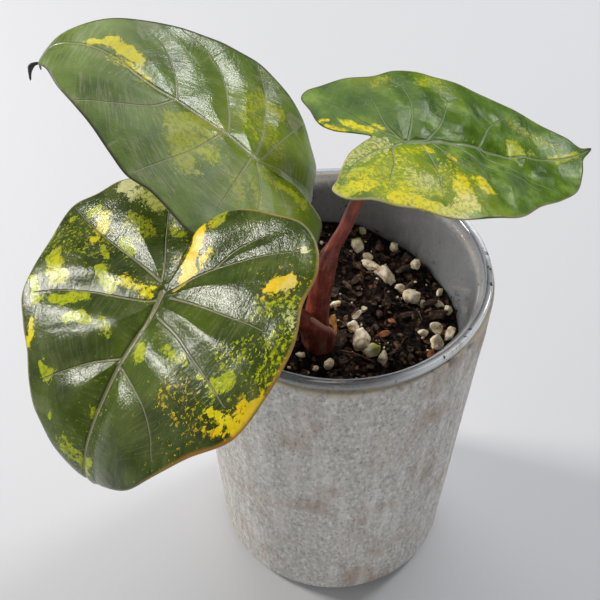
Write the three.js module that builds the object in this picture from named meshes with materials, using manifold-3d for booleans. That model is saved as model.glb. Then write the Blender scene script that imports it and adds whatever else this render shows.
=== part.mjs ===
// A young variegated elephant-ear plant with three leaves. It grows in a clear plastic grow pot,
// which hangs by its lip in a tall tapered cover pot.
// Millimetres, +Z up. The origin is the centre of the cover pot's flat underside.

import * as THREE from 'three';
import { mergeVertices } from 'three/addons/utils/BufferGeometryUtils.js';
import Module from 'manifold-3d';

const wasm = await Module();
wasm.setup();

// Clearance between pieces that rest on or in each other
const GAP = 0.35;
const SEAT = 0.65;

// Cover pot: a straight taper with a rounded foot and a soft rim
const COVER = {
  height: 166.4,
  rimRadius: 65,
  baseRadius: 53.5,
  rimWall: 6.8,
  baseWall: 7.2,
  floor: 9,
  footRound: 6,
  rimRound: 1.2,
  sides: 48,
};

// Grow pot: thin clear wall, flared collar, rolled lip that rests on the cover pot's rim
const GROW = {
  wall: 0.9,
  bottom: 13,
  bottomRadius: 45.6,
  collarFoot: 160,
  collarFootRadius: 57.2,
  collarTopRadius: 57.6,
  lipInner: 60.3,
  lipOuter: 63.7,
  lipHeight: 3.5,
  sides: 48,
  drainHoles: 6,
  drainRadius: 4,
  drainCircle: 30,
};

// Soil: its surface leans towards the right front and is lumpy
const SOIL = {
  level: 138,
  slopeX: -0.17,
  slopeY: 0.12,
  lump: 1.1,
  sides: 48,
  rings: [0.14, 0.3, 0.46, 0.62, 0.77, 0.9, 1],
  bottom: 14.3,
};

// Pumice granules: [x, y, length, width, height, turn in degrees]
const GRANULES = [
  [10, 42.5, 8.4, 5.6, 6, 100],
  [15.6, 31, 8.5, 5, 5, -28],
  [21.6, 26.3, 9, 6.4, 6, -42],
  [29.4, 20.8, 5.6, 3.4, 3.6, 10],
  [33.7, 17, 8, 7.4, 7.4, 20],
  [-0.8, 6, 5.4, 3, 3, 2],
  [11.8, 7.2, 3.6, 2.6, 3, 70],
  [8.7, 2.5, 5.4, 2.8, 2.8, 40],
  [6.8, -4.6, 5.6, 4.4, 4.6, 15],
  [9.6, -10.4, 8.2, 7.4, 7.4, 35],
  [14.2, -15.6, 7.6, 5.4, 5.4, -15],
  [19, -19, 6.2, 3.8, 5, 80],
  [-4, -24, 5.4, 4.2, 5, 80],
  [43.6, -0.4, 5.8, 4.4, 4.6, 8],
  [42.8, -7.6, 6.8, 6.4, 6.4, 25],
  [49.2, -1.4, 6, 5.2, 5, 60],
  [37.8, -3.6, 4.6, 3.6, 3.6, 0],
  [46.4, 20.8, 5.4, 3, 3, 68],
  [44.8, 14, 6.4, 2.8, 3, 172],
  [38.6, 13.8, 3.2, 3, 3, 0],
  [49.4, 10.8, 4, 3.6, 3.6, 30],
  [36.2, 34.6, 4.4, 4, 4, 30],
  [12.4, 50.4, 3.4, 3.2, 3.4, 0],
  [14.6, 36.4, 4.6, 3, 3, 10],
  [26.8, 43.4, 4.6, 4.2, 4.2, 50],
  [-16, -21.4, 3.6, 3.4, 3.4, 0],
  [-9.6, -26.8, 3, 2.8, 3, 20],
  [-37, 20, 7, 5, 5, 60],
  [-26, 33, 6, 4.8, 5, 20],
  [-35, -22, 6.4, 5, 5, 130],
  [-21, 10, 5, 4, 4, 80],
  [-46, -3, 5.4, 4.4, 4.6, 10],
  [-22, -40, 5.6, 4.6, 4.6, 40],
  [6, -43, 5, 4.4, 4.4, 120],
  [30, -36, 6.2, 5, 5, 20],
];

// Corm: the buried stem base on which the stalks stand, in a plain round hole in the soil
const CORM = { x: -8.4, y: -14.2, top: 130, bottom: 108, radius: 8, sides: 20 };

// Stalks: path points from the foot to the blade, and [x half-width, y half-width] at each point
const STALK_SIDES = 12;
const STALK_STEPS = 20;
const STALKS = {
  upper: {
    path: [[-10.4, -11, 130.5], [-10.4, -10.8, 148], [-10.6, -9.4, 166], [-13, -7.6, 182], [-19, -6.4, 198],
      [-26, -5.8, 212], [-30.6, -5.8, 222.5]],
    radii: [[2.1, 2.1], [2.1, 2.1], [2.1, 2.1], [2.2, 2.2], [2.3, 2.3], [2.3, 2.3], [2.3, 2.3], [2.6, 2.6]],
  },
  right: {
    path: [[-9.3, -12.8, 130.5], [-9.4, -12.2, 150], [-8.4, -10.6, 161.5], [-6.9, -9.2, 171.5], [-5.3, -7.9, 181.5],
      [-2.4, -6.7, 189], [1.2, -5.7, 196.6], [6, -3.9, 210], [14, -1.6, 223.5]],
    radii: [[6, 5.4], [5.6, 5.2], [4.7, 4.7], [4.6, 4.5], [4.3, 4.2], [2.8, 2.8], [2.7, 2.7], [2.55, 2.55],
      [2.4, 2.4], [2.7, 2.7]],
  },
  front: {
    path: [[-8.4, -14.2, 130.5], [-8.5, -14.3, 142], [-11, -16, 152], [-18, -21.5, 164], [-29, -32, 184],
      [-42, -46.5, 205], [-54.5, -61, 219]],
    radii: [[7.4, 7.1], [7.5, 7.2], [6.6, 6.2], [3.7, 3.5], [2.8, 2.8], [2.6, 2.6], [2.5, 2.5], [2.8, 2.8]],
  },
};

// Blades. A blade is drawn flat as [along, across] from its junction with the stalk, along to the tip and
// across to its left. It is then bent: the midrib rises and arches, and both halves fall away from it.
// Angles are in degrees, and bends in degrees per 100 mm.
const BLADE_THICKNESS = 0.7;
const BLADE_RINGS = [0.2, 0.4, 0.6, 0.78, 0.91, 1];
const OUTLINE_STEPS = 2;

const LEAF_FRONT = {
  junction: [-63, -70.4, 228],
  heading: 241.9,
  rise: -13.9,
  arch: -65.3,
  curl: -111.6,
  back: 18.7,
  roll: 17.4,
  twist: -5.7,
  sweep: -0.108,
  left: { tilt: 10.3, droop: -30.5, fade: -8.6 },
  right: { tilt: 6.4, droop: -10.9, fade: -22.5 },
  puff: 1.5,
  notch: 16.5,
  lap: 2.3,
  outline: [[91, 0], [83, 2.2], [72, 10.5], [62.5, 23.5], [55, 32], [44.5, 42.5], [35, 53.5], [24, 59.3], [8, 61],
    [-6, 57.2], [-19, 56.6], [-29, 51.8], [-35.5, 43], [-37.3, 30], [-37.4, 18.4], [-35.6, 9.2], [-30.5, 3],
    [-24, 1.3], [-16.5, 0], [-24, -1.2], [-31.5, -5.5], [-38, -13], [-41.5, -24], [-41.5, -36], [-38.2, -44.8],
    [-31.5, -51.6], [-23.5, -58.6], [-8.5, -59.7], [5, -58.7], [18, -55.7], [28, -48.6], [37, -41.2], [48.5, -34],
    [58, -27.2], [66, -19.5], [75, -10.2], [83.5, -2.2]],
  veins: [[2, 12, 60, -6], [4, 28, 48, -4], [26, 52, 34, -3], [0, -30, 53, 6], [-2, -34, 22, 3],
    [3, 14, -58, -5], [24, 50, -32, -3], [0, -24, -57, 4], [-2, -36, -20, -2], [8, 33, -45, -4]],
};

const LEAF_UPPER = {
  junction: [-32, -5.9, 232.1],
  heading: 163.5,
  rise: 32.9,
  arch: 14.9,
  curl: -128.3,
  back: -68.2,
  roll: 7.8,
  twist: -12.3,
  sweep: 0,
  left: { tilt: -0.6, droop: -26.9, fade: -9.7 },
  right: { tilt: -4, droop: 13.2, fade: 12 },
  puff: 1.1,
  notch: 8,
  lap: -0.8,
  outline: [[103, 0.5], [97.5, 2], [94.5, 5.5], [86.4, 13.4], [77, 21], [67.2, 27], [58.3, 32.2], [46.6, 38.4],
    [38, 41.6], [29.5, 42.6], [20, 45], [12, 47.4], [6, 48], [-4, 45], [-14, 41.2], [-23, 35.8], [-30.5, 28],
    [-35, 19], [-34.9, 9.7], [-32.5, 4], [-27, 1], [-8, 0], [-27, -1.6], [-29.6, -8], [-30, -18], [-27.6, -29],
    [-21.6, -37], [-12.6, -45.9], [-2.2, -50.8], [7.4, -52.8], [16.6, -52.4], [30.5, -46.7], [41, -40.4], [50, -35],
    [62.5, -26.6], [77.5, -16], [86, -10], [93, -5.5], [97.5, -1.6]],
  veins: [[0, -4, 47, 3], [12, 34, 40, -4], [34, 66, 26, -3], [0, -28, 32, 3], [-2, -33, 8, 1],
    [0, 12, -50, -4], [12, 44, -38, -5], [34, 62, -25, -3], [-1, -18, -38, 2], [-2, -29, -10, -1]],
};

const LEAF_RIGHT = {
  junction: [23.8, 0.3, 236],
  heading: 16.2,
  rise: -14.9,
  arch: -44.1,
  curl: 80.5,
  back: -26.2,
  roll: 4.9,
  twist: 0.5,
  sweep: 0.149,
  left: { tilt: 7.2, droop: -14, fade: 12.8 },
  right: { tilt: 4, droop: -21.1, fade: 8.3 },
  puff: 1.1,
  notch: 13.8,
  lap: 0,
  outline: [[97.5, -1.5], [93, 1.8], [88.5, 9.2], [78, 18.6], [67, 26], [54.7, 30.9], [44.1, 33.6], [35.5, 36.2],
    [24.3, 38], [15.7, 39.3], [6.3, 38.4], [-4, 35], [-16.3, 33], [-26, 30], [-32.4, 27.6], [-35.2, 24.2],
    [-34.4, 17.5], [-32, 10.4], [-28, 6.7], [-20.4, 4.5], [-13.8, 2.6], [-18.3, -0.5], [-25.3, -6.3], [-30, -12.4],
    [-34.4, -18.6], [-37.2, -23], [-35.6, -27], [-31.2, -29.4], [-24, -30.6], [-16.6, -33.4], [-8, -36], [0, -38.8],
    [8, -40.4], [24, -38.6], [40, -35], [56, -27.6], [71, -22.2], [81.5, -17.6], [88.6, -9.6], [92.6, -4.4]],
  veins: [[0, 8, 38, -3], [9, 28, 35, -4], [30, 58, 24, -3], [-1, -13, 32, 2], [-3, -32, 18, 3],
    [4, 3, -38, 3], [8, 44, -30, -8], [30, 66, -22, -4], [-3, -14, -31, -2], [-3, -34, -24, -3]],
};

const MATERIALS = {
  stoneware: { color: 0x8f8d89, roughness: 0.85, metalness: 0 },
  clearPlastic: { color: 0xcdd6dc, roughness: 0.2, metalness: 0, transparent: true, opacity: 0.45 },
  soil: { color: 0x2a1b13, roughness: 1, metalness: 0 },
  corm: { color: 0x5a4030, roughness: 0.9, metalness: 0 },
  stalk: { color: 0x64302a, roughness: 0.5, metalness: 0 },
  blade: { color: 0x3f5a22, roughness: 0.35, metalness: 0 },
};

// Closed mesh to solid and back, for joins and cuts

function solid(geometry) {
  const bare = geometry.clone();
  for (const name of Object.keys(bare.attributes)) {
    if (name !== 'position') bare.deleteAttribute(name);
  }
  const merged = mergeVertices(bare, 1e-3);
  return new wasm.Manifold(new wasm.Mesh({
    numProp: 3,
    vertProperties: new Float32Array(merged.attributes.position.array),
    triVerts: new Uint32Array(merged.index.array),
  }));
}

function geometryOf(body) {
  const mesh = body.getMesh();
  const geometry = new THREE.BufferGeometry();
  geometry.setAttribute('position', new THREE.BufferAttribute(mesh.vertProperties, 3));
  geometry.setIndex(new THREE.BufferAttribute(mesh.triVerts, 1));
  geometry.computeVertexNormals();
  return geometry;
}

function meshOf(name, geometry, material) {
  const mesh = new THREE.Mesh(geometry, new THREE.MeshStandardMaterial(material));
  mesh.name = name;
  return mesh;
}

// Triangles on a list of points

function geometryFrom(points, faces) {
  const geometry = new THREE.BufferGeometry();
  geometry.setAttribute('position', new THREE.Float32BufferAttribute(points.flatMap((p) => p.toArray()), 3));
  geometry.setIndex(faces.flat());
  geometry.computeVertexNormals();
  return geometry;
}

// A skin of closed rings of equal length from one end point to the other, its faces outward when the rings
// run anticlockwise seen from the last end
function ringSkin(first, rings, last) {
  const count = rings[0].length;
  const points = [first, ...rings.flat(), last];
  const end = points.length - 1;
  const faces = [];
  const at = (ring, k) => 1 + ring * count + (k % count);
  for (let k = 0; k < count; k += 1) {
    faces.push([0, at(0, k + 1), at(0, k)]);
    faces.push([end, at(rings.length - 1, k), at(rings.length - 1, k + 1)]);
    for (let ring = 0; ring < rings.length - 1; ring += 1) {
      faces.push([at(ring, k), at(ring, k + 1), at(ring + 1, k + 1)]);
      faces.push([at(ring, k), at(ring + 1, k + 1), at(ring + 1, k)]);
    }
  }
  return geometryFrom(points, faces);
}

// Pots

function coverProfile() {
  const profile = new THREE.Path();
  const rise = (COVER.rimRadius - COVER.baseRadius) / COVER.height;
  const rimInner = COVER.rimRadius - COVER.rimWall;
  const floorRadius = COVER.baseRadius + rise * COVER.floor - COVER.baseWall;
  profile.moveTo(0, 0);
  profile.lineTo(COVER.baseRadius - COVER.footRound, 0);
  profile.quadraticCurveTo(COVER.baseRadius - 0.4, 0, COVER.baseRadius + rise * COVER.footRound, COVER.footRound);
  profile.lineTo(COVER.rimRadius - rise * COVER.rimRound, COVER.height - COVER.rimRound);
  profile.quadraticCurveTo(COVER.rimRadius, COVER.height, COVER.rimRadius - COVER.rimRound, COVER.height);
  profile.lineTo(rimInner + COVER.rimRound, COVER.height);
  profile.quadraticCurveTo(rimInner, COVER.height, rimInner, COVER.height - COVER.rimRound);
  profile.lineTo(floorRadius, COVER.floor + COVER.rimRound);
  profile.lineTo(floorRadius - COVER.rimRound, COVER.floor);
  profile.lineTo(0, COVER.floor);
  return profile.getPoints(3);
}

function growWallRadius(z) {
  const share = (z - GROW.bottom) / (GROW.collarFoot - GROW.bottom);
  return THREE.MathUtils.lerp(GROW.bottomRadius, GROW.collarFootRadius, share);
}

function growPot() {
  const seat = COVER.height + GAP;
  const top = seat + GROW.lipHeight;
  const inside = GROW.collarFootRadius - GROW.wall;
  const profile = new THREE.Path();
  profile.moveTo(0, GROW.bottom);
  profile.lineTo(GROW.bottomRadius - 1.5, GROW.bottom);
  profile.lineTo(GROW.bottomRadius, GROW.bottom + 1.5);
  profile.lineTo(GROW.collarFootRadius, GROW.collarFoot);
  profile.lineTo(GROW.collarTopRadius, COVER.height - 0.4);
  profile.lineTo(GROW.collarTopRadius + 0.5, seat);
  profile.lineTo(GROW.lipOuter - 0.6, seat);
  profile.lineTo(GROW.lipOuter, seat + 0.8);
  profile.quadraticCurveTo(GROW.lipOuter - 0.1, top, GROW.lipOuter - 1.6, top);
  profile.quadraticCurveTo(GROW.lipInner + 0.3, top, GROW.lipInner, top - 0.9);
  profile.lineTo(inside + 0.6, COVER.height - COVER.rimRound);
  profile.lineTo(inside, GROW.collarFoot);
  profile.lineTo(growWallRadius(SOIL.bottom) - GROW.wall - 0.2, SOIL.bottom - GAP);
  profile.lineTo(0, SOIL.bottom - GAP);
  let body = solid(standing(new THREE.LatheGeometry(profile.getPoints(3), GROW.sides)));
  for (let k = 0; k < GROW.drainHoles; k += 1) {
    const turn = (2 * Math.PI * k) / GROW.drainHoles;
    const drill = new THREE.CylinderGeometry(GROW.drainRadius, GROW.drainRadius, 8, 10);
    drill.rotateX(Math.PI / 2);
    drill.translate(GROW.drainCircle * Math.cos(turn), GROW.drainCircle * Math.sin(turn), GROW.bottom);
    body = body.subtract(solid(drill));
  }
  return geometryOf(body);
}

// LatheGeometry turns about Y, and the pots stand on Z
function standing(geometry) {
  geometry.rotateX(Math.PI / 2);
  return geometry;
}

// Soil with its granules and the plain hole for the stem base

function soilHeight(x, y) {
  const lumps = Math.sin(0.17 * x + 1.2) * Math.cos(0.15 * y - 0.4) + 0.6 * Math.sin(0.22 * (x + y));
  return SOIL.level + SOIL.slopeX * x + SOIL.slopeY * y + SOIL.lump * lumps;
}

function soilBody() {
  const ring = (radius, height) => Array.from({ length: SOIL.sides }, (_, k) => {
    const turn = (2 * Math.PI * k) / SOIL.sides;
    const x = radius * Math.cos(turn);
    const y = radius * Math.sin(turn);
    return new THREE.Vector3(x, y, height(x, y));
  });
  const low = growWallRadius(SOIL.bottom) - GROW.wall - GAP - 0.3;
  const wallAt = (z) => growWallRadius(z) - GROW.wall - GAP;
  const rim = ring(1, () => 0).map((unit) => {
    let radius = wallAt(SOIL.level);
    for (let pass = 0; pass < 3; pass += 1) radius = wallAt(soilHeight(unit.x * radius, unit.y * radius));
    return new THREE.Vector2(unit.x * radius, unit.y * radius);
  });
  const surface = SOIL.rings.map((share) => rim.map((p) => {
    const x = p.x * share;
    const y = p.y * share;
    return new THREE.Vector3(x, y, soilHeight(x, y));
  }));
  const rings = [ring(low, () => SOIL.bottom), ...surface.reverse()];
  return ringSkin(new THREE.Vector3(0, 0, SOIL.bottom), rings, new THREE.Vector3(0, 0, soilHeight(0, 0)));
}

function granule([x, y, length, width, height, turn]) {
  const lump = new THREE.IcosahedronGeometry(0.5, length > 7 ? 1 : 0);
  lump.scale(length, width, height);
  lump.rotateZ(THREE.MathUtils.degToRad(turn));
  lump.translate(x, y, soilHeight(x, y) + 0.06 * height);
  return lump;
}

function soil() {
  let body = solid(soilBody());
  for (const row of GRANULES) body = body.add(solid(granule(row)));
  const depth = SOIL.level + 20 - CORM.bottom;
  const hole = new THREE.CylinderGeometry(CORM.radius + GAP, CORM.radius + GAP, depth, CORM.sides);
  hole.rotateX(Math.PI / 2);
  hole.translate(CORM.x, CORM.y, CORM.bottom - GAP + depth / 2);
  return geometryOf(body.subtract(solid(hole)));
}

function corm() {
  const { radius, top, bottom } = CORM;
  const profile = new THREE.Path();
  profile.moveTo(0, bottom);
  profile.quadraticCurveTo(0.8 * radius, bottom + 1, radius, (bottom + top) / 2);
  profile.lineTo(radius, top - 1.5);
  profile.lineTo(radius - 1, top);
  profile.lineTo(0, top);
  const body = standing(new THREE.LatheGeometry(profile.getPoints(5), CORM.sides));
  body.translate(CORM.x, CORM.y, 0);
  return body;
}

// Blades

// Where the midrib has got to after `along` mm, in its own upright plane, and how steeply it rises there
function midrib(leaf, along) {
  const pitchAt = (a) => {
    const g = a / 100;
    const bend = g > 0 ? leaf.arch * g + leaf.curl * g ** 4 : leaf.back * g;
    return THREE.MathUtils.degToRad(leaf.rise + bend);
  };
  const steps = 24;
  const step = along / steps;
  let out = 0;
  let up = 0;
  for (let k = 0; k < steps; k += 1) {
    const pitch = pitchAt((k + 0.5) * step);
    out += Math.cos(pitch) * step;
    up += Math.sin(pitch) * step;
  }
  return { out, up, pitch: pitchAt(along) };
}

// Middle of the blade's thickness at a flat place, before its relief
function bent(leaf, along, across) {
  const swept = across + (along > 0 ? leaf.sweep * (along / 100) ** 2 * 100 : 0);
  const { out, up, pitch } = midrib(leaf, along);
  const heading = THREE.MathUtils.degToRad(leaf.heading);
  const ahead = new THREE.Vector3(Math.cos(heading), Math.sin(heading), 0);
  const side = new THREE.Vector3(-Math.sin(heading), Math.cos(heading), 0);
  const upright = new THREE.Vector3(0, 0, 1);
  const tangent = ahead.clone().multiplyScalar(Math.cos(pitch)).addScaledVector(upright, Math.sin(pitch));
  const normal = new THREE.Vector3().crossVectors(tangent, side);
  const roll = THREE.MathUtils.degToRad(leaf.roll + (leaf.twist * along) / 100);
  const half = swept > 0 ? leaf.left : leaf.right;
  const turn = THREE.MathUtils.degToRad(((half.droop + (half.fade * along) / 100) * Math.abs(swept)) / 100) / 2;
  const chord = Math.abs(swept) * (Math.abs(turn) < 1e-6 ? 1 : Math.sin(turn) / turn);
  const slope = THREE.MathUtils.degToRad(half.tilt) + turn;
  const level = Math.sign(swept) * chord * Math.cos(slope);
  const raised = chord * Math.sin(slope);
  return new THREE.Vector3(...leaf.junction)
    .addScaledVector(ahead, out)
    .addScaledVector(upright, up)
    .addScaledVector(side, level * Math.cos(roll) - raised * Math.sin(roll))
    .addScaledVector(normal, level * Math.sin(roll) + raised * Math.cos(roll));
}

// Distance of a flat place from the midrib and the nearest side vein
function veinDistance(leaf, along, across) {
  let nearest = along > -4 ? Math.abs(across) : Infinity;
  for (const [from, toAlong, toAcross, bow] of leaf.veins) {
    for (let k = 0; k <= 12; k += 1) {
      const t = k / 12;
      const a = THREE.MathUtils.lerp(from, toAlong, t) + bow * 4 * t * (1 - t);
      nearest = Math.min(nearest, Math.hypot(along - a, across - toAcross * t));
    }
  }
  return nearest;
}

// Beyond the end of the notch one back lobe lies over the other, and both are level again further out
function lap(leaf, along, across) {
  const beyond = THREE.MathUtils.smoothstep(-along, leaf.notch, leaf.notch + 10);
  return leaf.lap * Math.sign(across) * beyond * Math.exp(-((across / 14) ** 2));
}

// The blade puffs up between its sunken veins and is flat again at its edge
function relief(leaf, along, across, share) {
  const puffed = 1 - Math.exp(-((veinDistance(leaf, along, across) / 7) ** 2));
  return leaf.puff * (puffed - 0.35) * (1 - share ** 4) + lap(leaf, along, across);
}

function bladePoint(leaf, along, across, share, offset) {
  const d = 0.5;
  const slopeAlong = bent(leaf, along + d, across).sub(bent(leaf, along - d, across));
  const slopeAcross = bent(leaf, along, across + d).sub(bent(leaf, along, across - d));
  const normal = new THREE.Vector3().crossVectors(slopeAlong, slopeAcross).normalize();
  return bent(leaf, along, across).addScaledVector(normal, relief(leaf, along, across, share) + offset);
}

// Both faces have the same rings and spokes, so they never cross
function blade(leaf) {
  const curve = new THREE.CatmullRomCurve3(leaf.outline.map(([a, b]) => new THREE.Vector3(a, b, 0)), true);
  const spokes = leaf.outline.length * OUTLINE_STEPS;
  const margin = Array.from({ length: spokes }, (_, k) => curve.getPoint(k / spokes));
  const face = (offset) => BLADE_RINGS.map((share) => margin.map((p) => (
    bladePoint(leaf, p.x * share, p.y * share, share, offset))));
  const half = BLADE_THICKNESS / 2;
  const rings = [...face(-half), ...face(half).reverse()];
  return ringSkin(bladePoint(leaf, 0, 0, 0, -half), rings, bladePoint(leaf, 0, 0, 0, half));
}

// Where a stalk ends: just under the blade, square to it
function stalkEnd(leaf) {
  const under = bladePoint(leaf, 0, 0, 0, -BLADE_THICKNESS / 2 - SEAT);
  const above = bladePoint(leaf, 0, 0, 0, 0);
  return { point: under, direction: above.sub(under).normalize() };
}

// Stalks: ellipses lofted along a smooth path. `grow` widens one into the clearance that it needs.
function stalk({ path, radii }, leaf, grow = 0) {
  const end = stalkEnd(leaf);
  const points = [...path.map((p) => new THREE.Vector3(...p)), end.point];
  points[0].z -= 4 * grow;
  const curve = new THREE.CatmullRomCurve3(points);
  const spans = points.length - 1;
  const rings = [];
  for (let k = 0; k <= STALK_STEPS; k += 1) {
    const t = k / STALK_STEPS;
    const centre = curve.getPoint(t);
    const ahead = t === 1 ? end.direction : curve.getTangent(t);
    const right = new THREE.Vector3(0, 1, 0).cross(ahead).normalize();
    const back = new THREE.Vector3().crossVectors(ahead, right);
    const place = Math.min(t * spans, spans - 1e-6);
    const low = Math.floor(place);
    const wide = THREE.MathUtils.lerp(radii[low][0], radii[low + 1][0], place - low) + grow;
    const deep = THREE.MathUtils.lerp(radii[low][1], radii[low + 1][1], place - low) + grow;
    rings.push(Array.from({ length: STALK_SIDES }, (_, side) => {
      const turn = (2 * Math.PI * side) / STALK_SIDES;
      return centre.clone().addScaledVector(right, wide * Math.cos(turn))
        .addScaledVector(back, deep * Math.sin(turn));
    }));
  }
  return ringSkin(curve.getPoint(0), rings, curve.getPoint(1));
}

// Assembly. Each older stalk sheathes the younger ones, so their clearance is cut out of it.

const upperRoom = solid(stalk(STALKS.upper, LEAF_UPPER, GAP));
const rightRoom = solid(stalk(STALKS.right, LEAF_RIGHT, GAP + 0.1));
const rightStalk = solid(stalk(STALKS.right, LEAF_RIGHT)).subtract(upperRoom);
const frontStalk = solid(stalk(STALKS.front, LEAF_FRONT)).subtract(rightRoom).subtract(upperRoom);

const group = new THREE.Group();
group.name = 'potted_variegated_aroid';
group.add(
  meshOf('cover_pot', standing(new THREE.LatheGeometry(coverProfile(), COVER.sides)), MATERIALS.stoneware),
  meshOf('grow_pot', growPot(), MATERIALS.clearPlastic),
  meshOf('soil', soil(), MATERIALS.soil),
  meshOf('corm', corm(), MATERIALS.corm),
  meshOf('petiole_front', geometryOf(frontStalk), MATERIALS.stalk),
  meshOf('petiole_right', geometryOf(rightStalk), MATERIALS.stalk),
  meshOf('petiole_upper', stalk(STALKS.upper, LEAF_UPPER), MATERIALS.stalk),
  meshOf('leaf_front', blade(LEAF_FRONT), MATERIALS.blade),
  meshOf('leaf_upper', blade(LEAF_UPPER), MATERIALS.blade),
  meshOf('leaf_right', blade(LEAF_RIGHT), MATERIALS.blade),
);

export default group;
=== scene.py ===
"""A young variegated elephant-ear plant in a clear grow pot and a grey cover pot, dressed for rendering.

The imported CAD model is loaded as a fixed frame. Each class below builds one sub-assembly over it: the
cover pot, the clear grow pot, the potting mix, the stalks and the blades. Lengths are in millimetres
until they reach Blender, which works in metres.
"""

import itertools
import logging
import math
from dataclasses import dataclass
from enum import Enum

import bpy
import numpy as np
from bpy.types import ColorRamp, Material, Node, NodeSocket, NodeTree, Object
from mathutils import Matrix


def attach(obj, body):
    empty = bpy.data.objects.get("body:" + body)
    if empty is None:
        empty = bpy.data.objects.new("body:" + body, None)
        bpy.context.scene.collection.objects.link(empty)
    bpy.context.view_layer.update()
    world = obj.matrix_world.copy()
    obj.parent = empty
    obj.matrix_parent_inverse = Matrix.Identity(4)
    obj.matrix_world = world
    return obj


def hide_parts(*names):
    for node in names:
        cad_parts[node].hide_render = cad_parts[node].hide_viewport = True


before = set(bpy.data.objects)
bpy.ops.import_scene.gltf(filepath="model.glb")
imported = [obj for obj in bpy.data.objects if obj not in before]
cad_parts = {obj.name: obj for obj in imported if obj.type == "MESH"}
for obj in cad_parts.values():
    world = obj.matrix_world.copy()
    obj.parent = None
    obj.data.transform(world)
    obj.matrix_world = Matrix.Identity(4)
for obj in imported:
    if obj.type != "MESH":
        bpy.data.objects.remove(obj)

LOG = logging.getLogger("potted_plant")
MM = 0.001
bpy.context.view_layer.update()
BODY = "root"
SEED = 20261
# Rows of numbers, and the stops of a colour ramp
Rows = tuple[tuple[float, ...], ...]
Stops = tuple[tuple[float, str], ...]


# Small tools


def linear(code: str, alpha: float = 1.0) -> tuple[float, float, float, float]:
    """Turns an sRGB hex colour into Blender's linear one.

    Args:
        code: the colour, such as "#8d8b88".
        alpha: the fourth number.

    Returns:
        Red, green, blue and alpha.
    """
    shares = [int(code[k:k + 2], 16) / 255 for k in (1, 3, 5)]
    red, green, blue = (s / 12.92 if s <= 0.04045 else ((s + 0.055) / 1.055) ** 2.4 for s in shares)
    return red, green, blue, alpha


def paint_ramp(ramp: ColorRamp, stops: Stops) -> None:
    """Gives a colour ramp its stops.

    Args:
        ramp: the ramp of a ColorRamp node.
        stops: (place, hex colour) from low to high.
    """
    while len(ramp.elements) < len(stops):
        ramp.elements.new(0.5)
    for element, (place, code) in zip(ramp.elements, stops):
        element.position = place
        element.color = linear(code)


def feed(tree: NodeTree, node: Node, inputs: dict) -> None:
    """Sets or links the sockets of a node.

    Args:
        tree: the material's node tree.
        node: the node.
        inputs: socket name or number to a value, to a hex colour, to the output socket that feeds it, or
            to a node whose first output does.
    """
    for key, value in inputs.items():
        if isinstance(value, str):
            value = linear(value)
        if isinstance(value, Node):
            value = value.outputs[0]
        if isinstance(value, NodeSocket):
            tree.links.new(value, node.inputs[key])
        else:
            node.inputs[key].default_value = value


def add_node(tree: NodeTree, kind: str, inputs: dict | None = None, **settings: object) -> Node:
    """Adds a node, sets it up and links it.

    Args:
        tree: the material's node tree.
        kind: the node's type name without its "ShaderNode" start.
        inputs: what feed puts into its sockets.
        settings: properties of the node itself, with the stops of a ramp under color_ramp.

    Returns:
        The new node.
    """
    node = tree.nodes.new("ShaderNode" + kind)
    for name, value in settings.items():
        if name == "color_ramp":
            paint_ramp(node.color_ramp, value)
        else:
            setattr(node, name, value)
    feed(tree, node, inputs or {})
    return node


def new_material(name: str) -> tuple[Material, NodeTree, Node]:
    """Makes a node material with its Principled shader.

    Args:
        name: what the real material is.

    Returns:
        The material, its node tree and its shader node.
    """
    material = bpy.data.materials.new(name)
    material.use_nodes = True
    tree = material.node_tree
    return material, tree, tree.nodes["Principled BSDF"]


def lumps(points: np.ndarray, cell: float, seed: int) -> np.ndarray:
    """Smooth random heights on a lattice, the same on every run.

    Args:
        points: places, one row each, in mm.
        cell: spacing of the lattice in mm.
        seed: which random lattice.

    Returns:
        One height from -1 to 1 for each place.
    """
    scaled = np.asarray(points, float) / cell
    low = np.floor(scaled).astype(np.int64)
    part = scaled - low
    part = part * part * (3 - 2 * part)
    total = np.zeros(len(scaled))
    for corner in itertools.product((0, 1), repeat=scaled.shape[1]):
        place = low + np.array(corner)
        mixed = np.full(len(scaled), seed * 374761393, dtype=np.int64)
        for axis, factor in zip(range(scaled.shape[1]), (73856093, 19349663, 83492791)):
            mixed ^= place[:, axis] * factor
        mixed = ((mixed ^ (mixed >> 13)) * 1274126177) & 0x7FFFFFFF
        mixed = ((mixed ^ (mixed >> 15)) * 668265263) & 0x7FFFFFFF
        share = np.prod(np.where(np.array(corner), part, 1 - part), axis=1)
        total += share * (mixed / 0x3FFFFFFF - 1)
    return total


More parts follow.
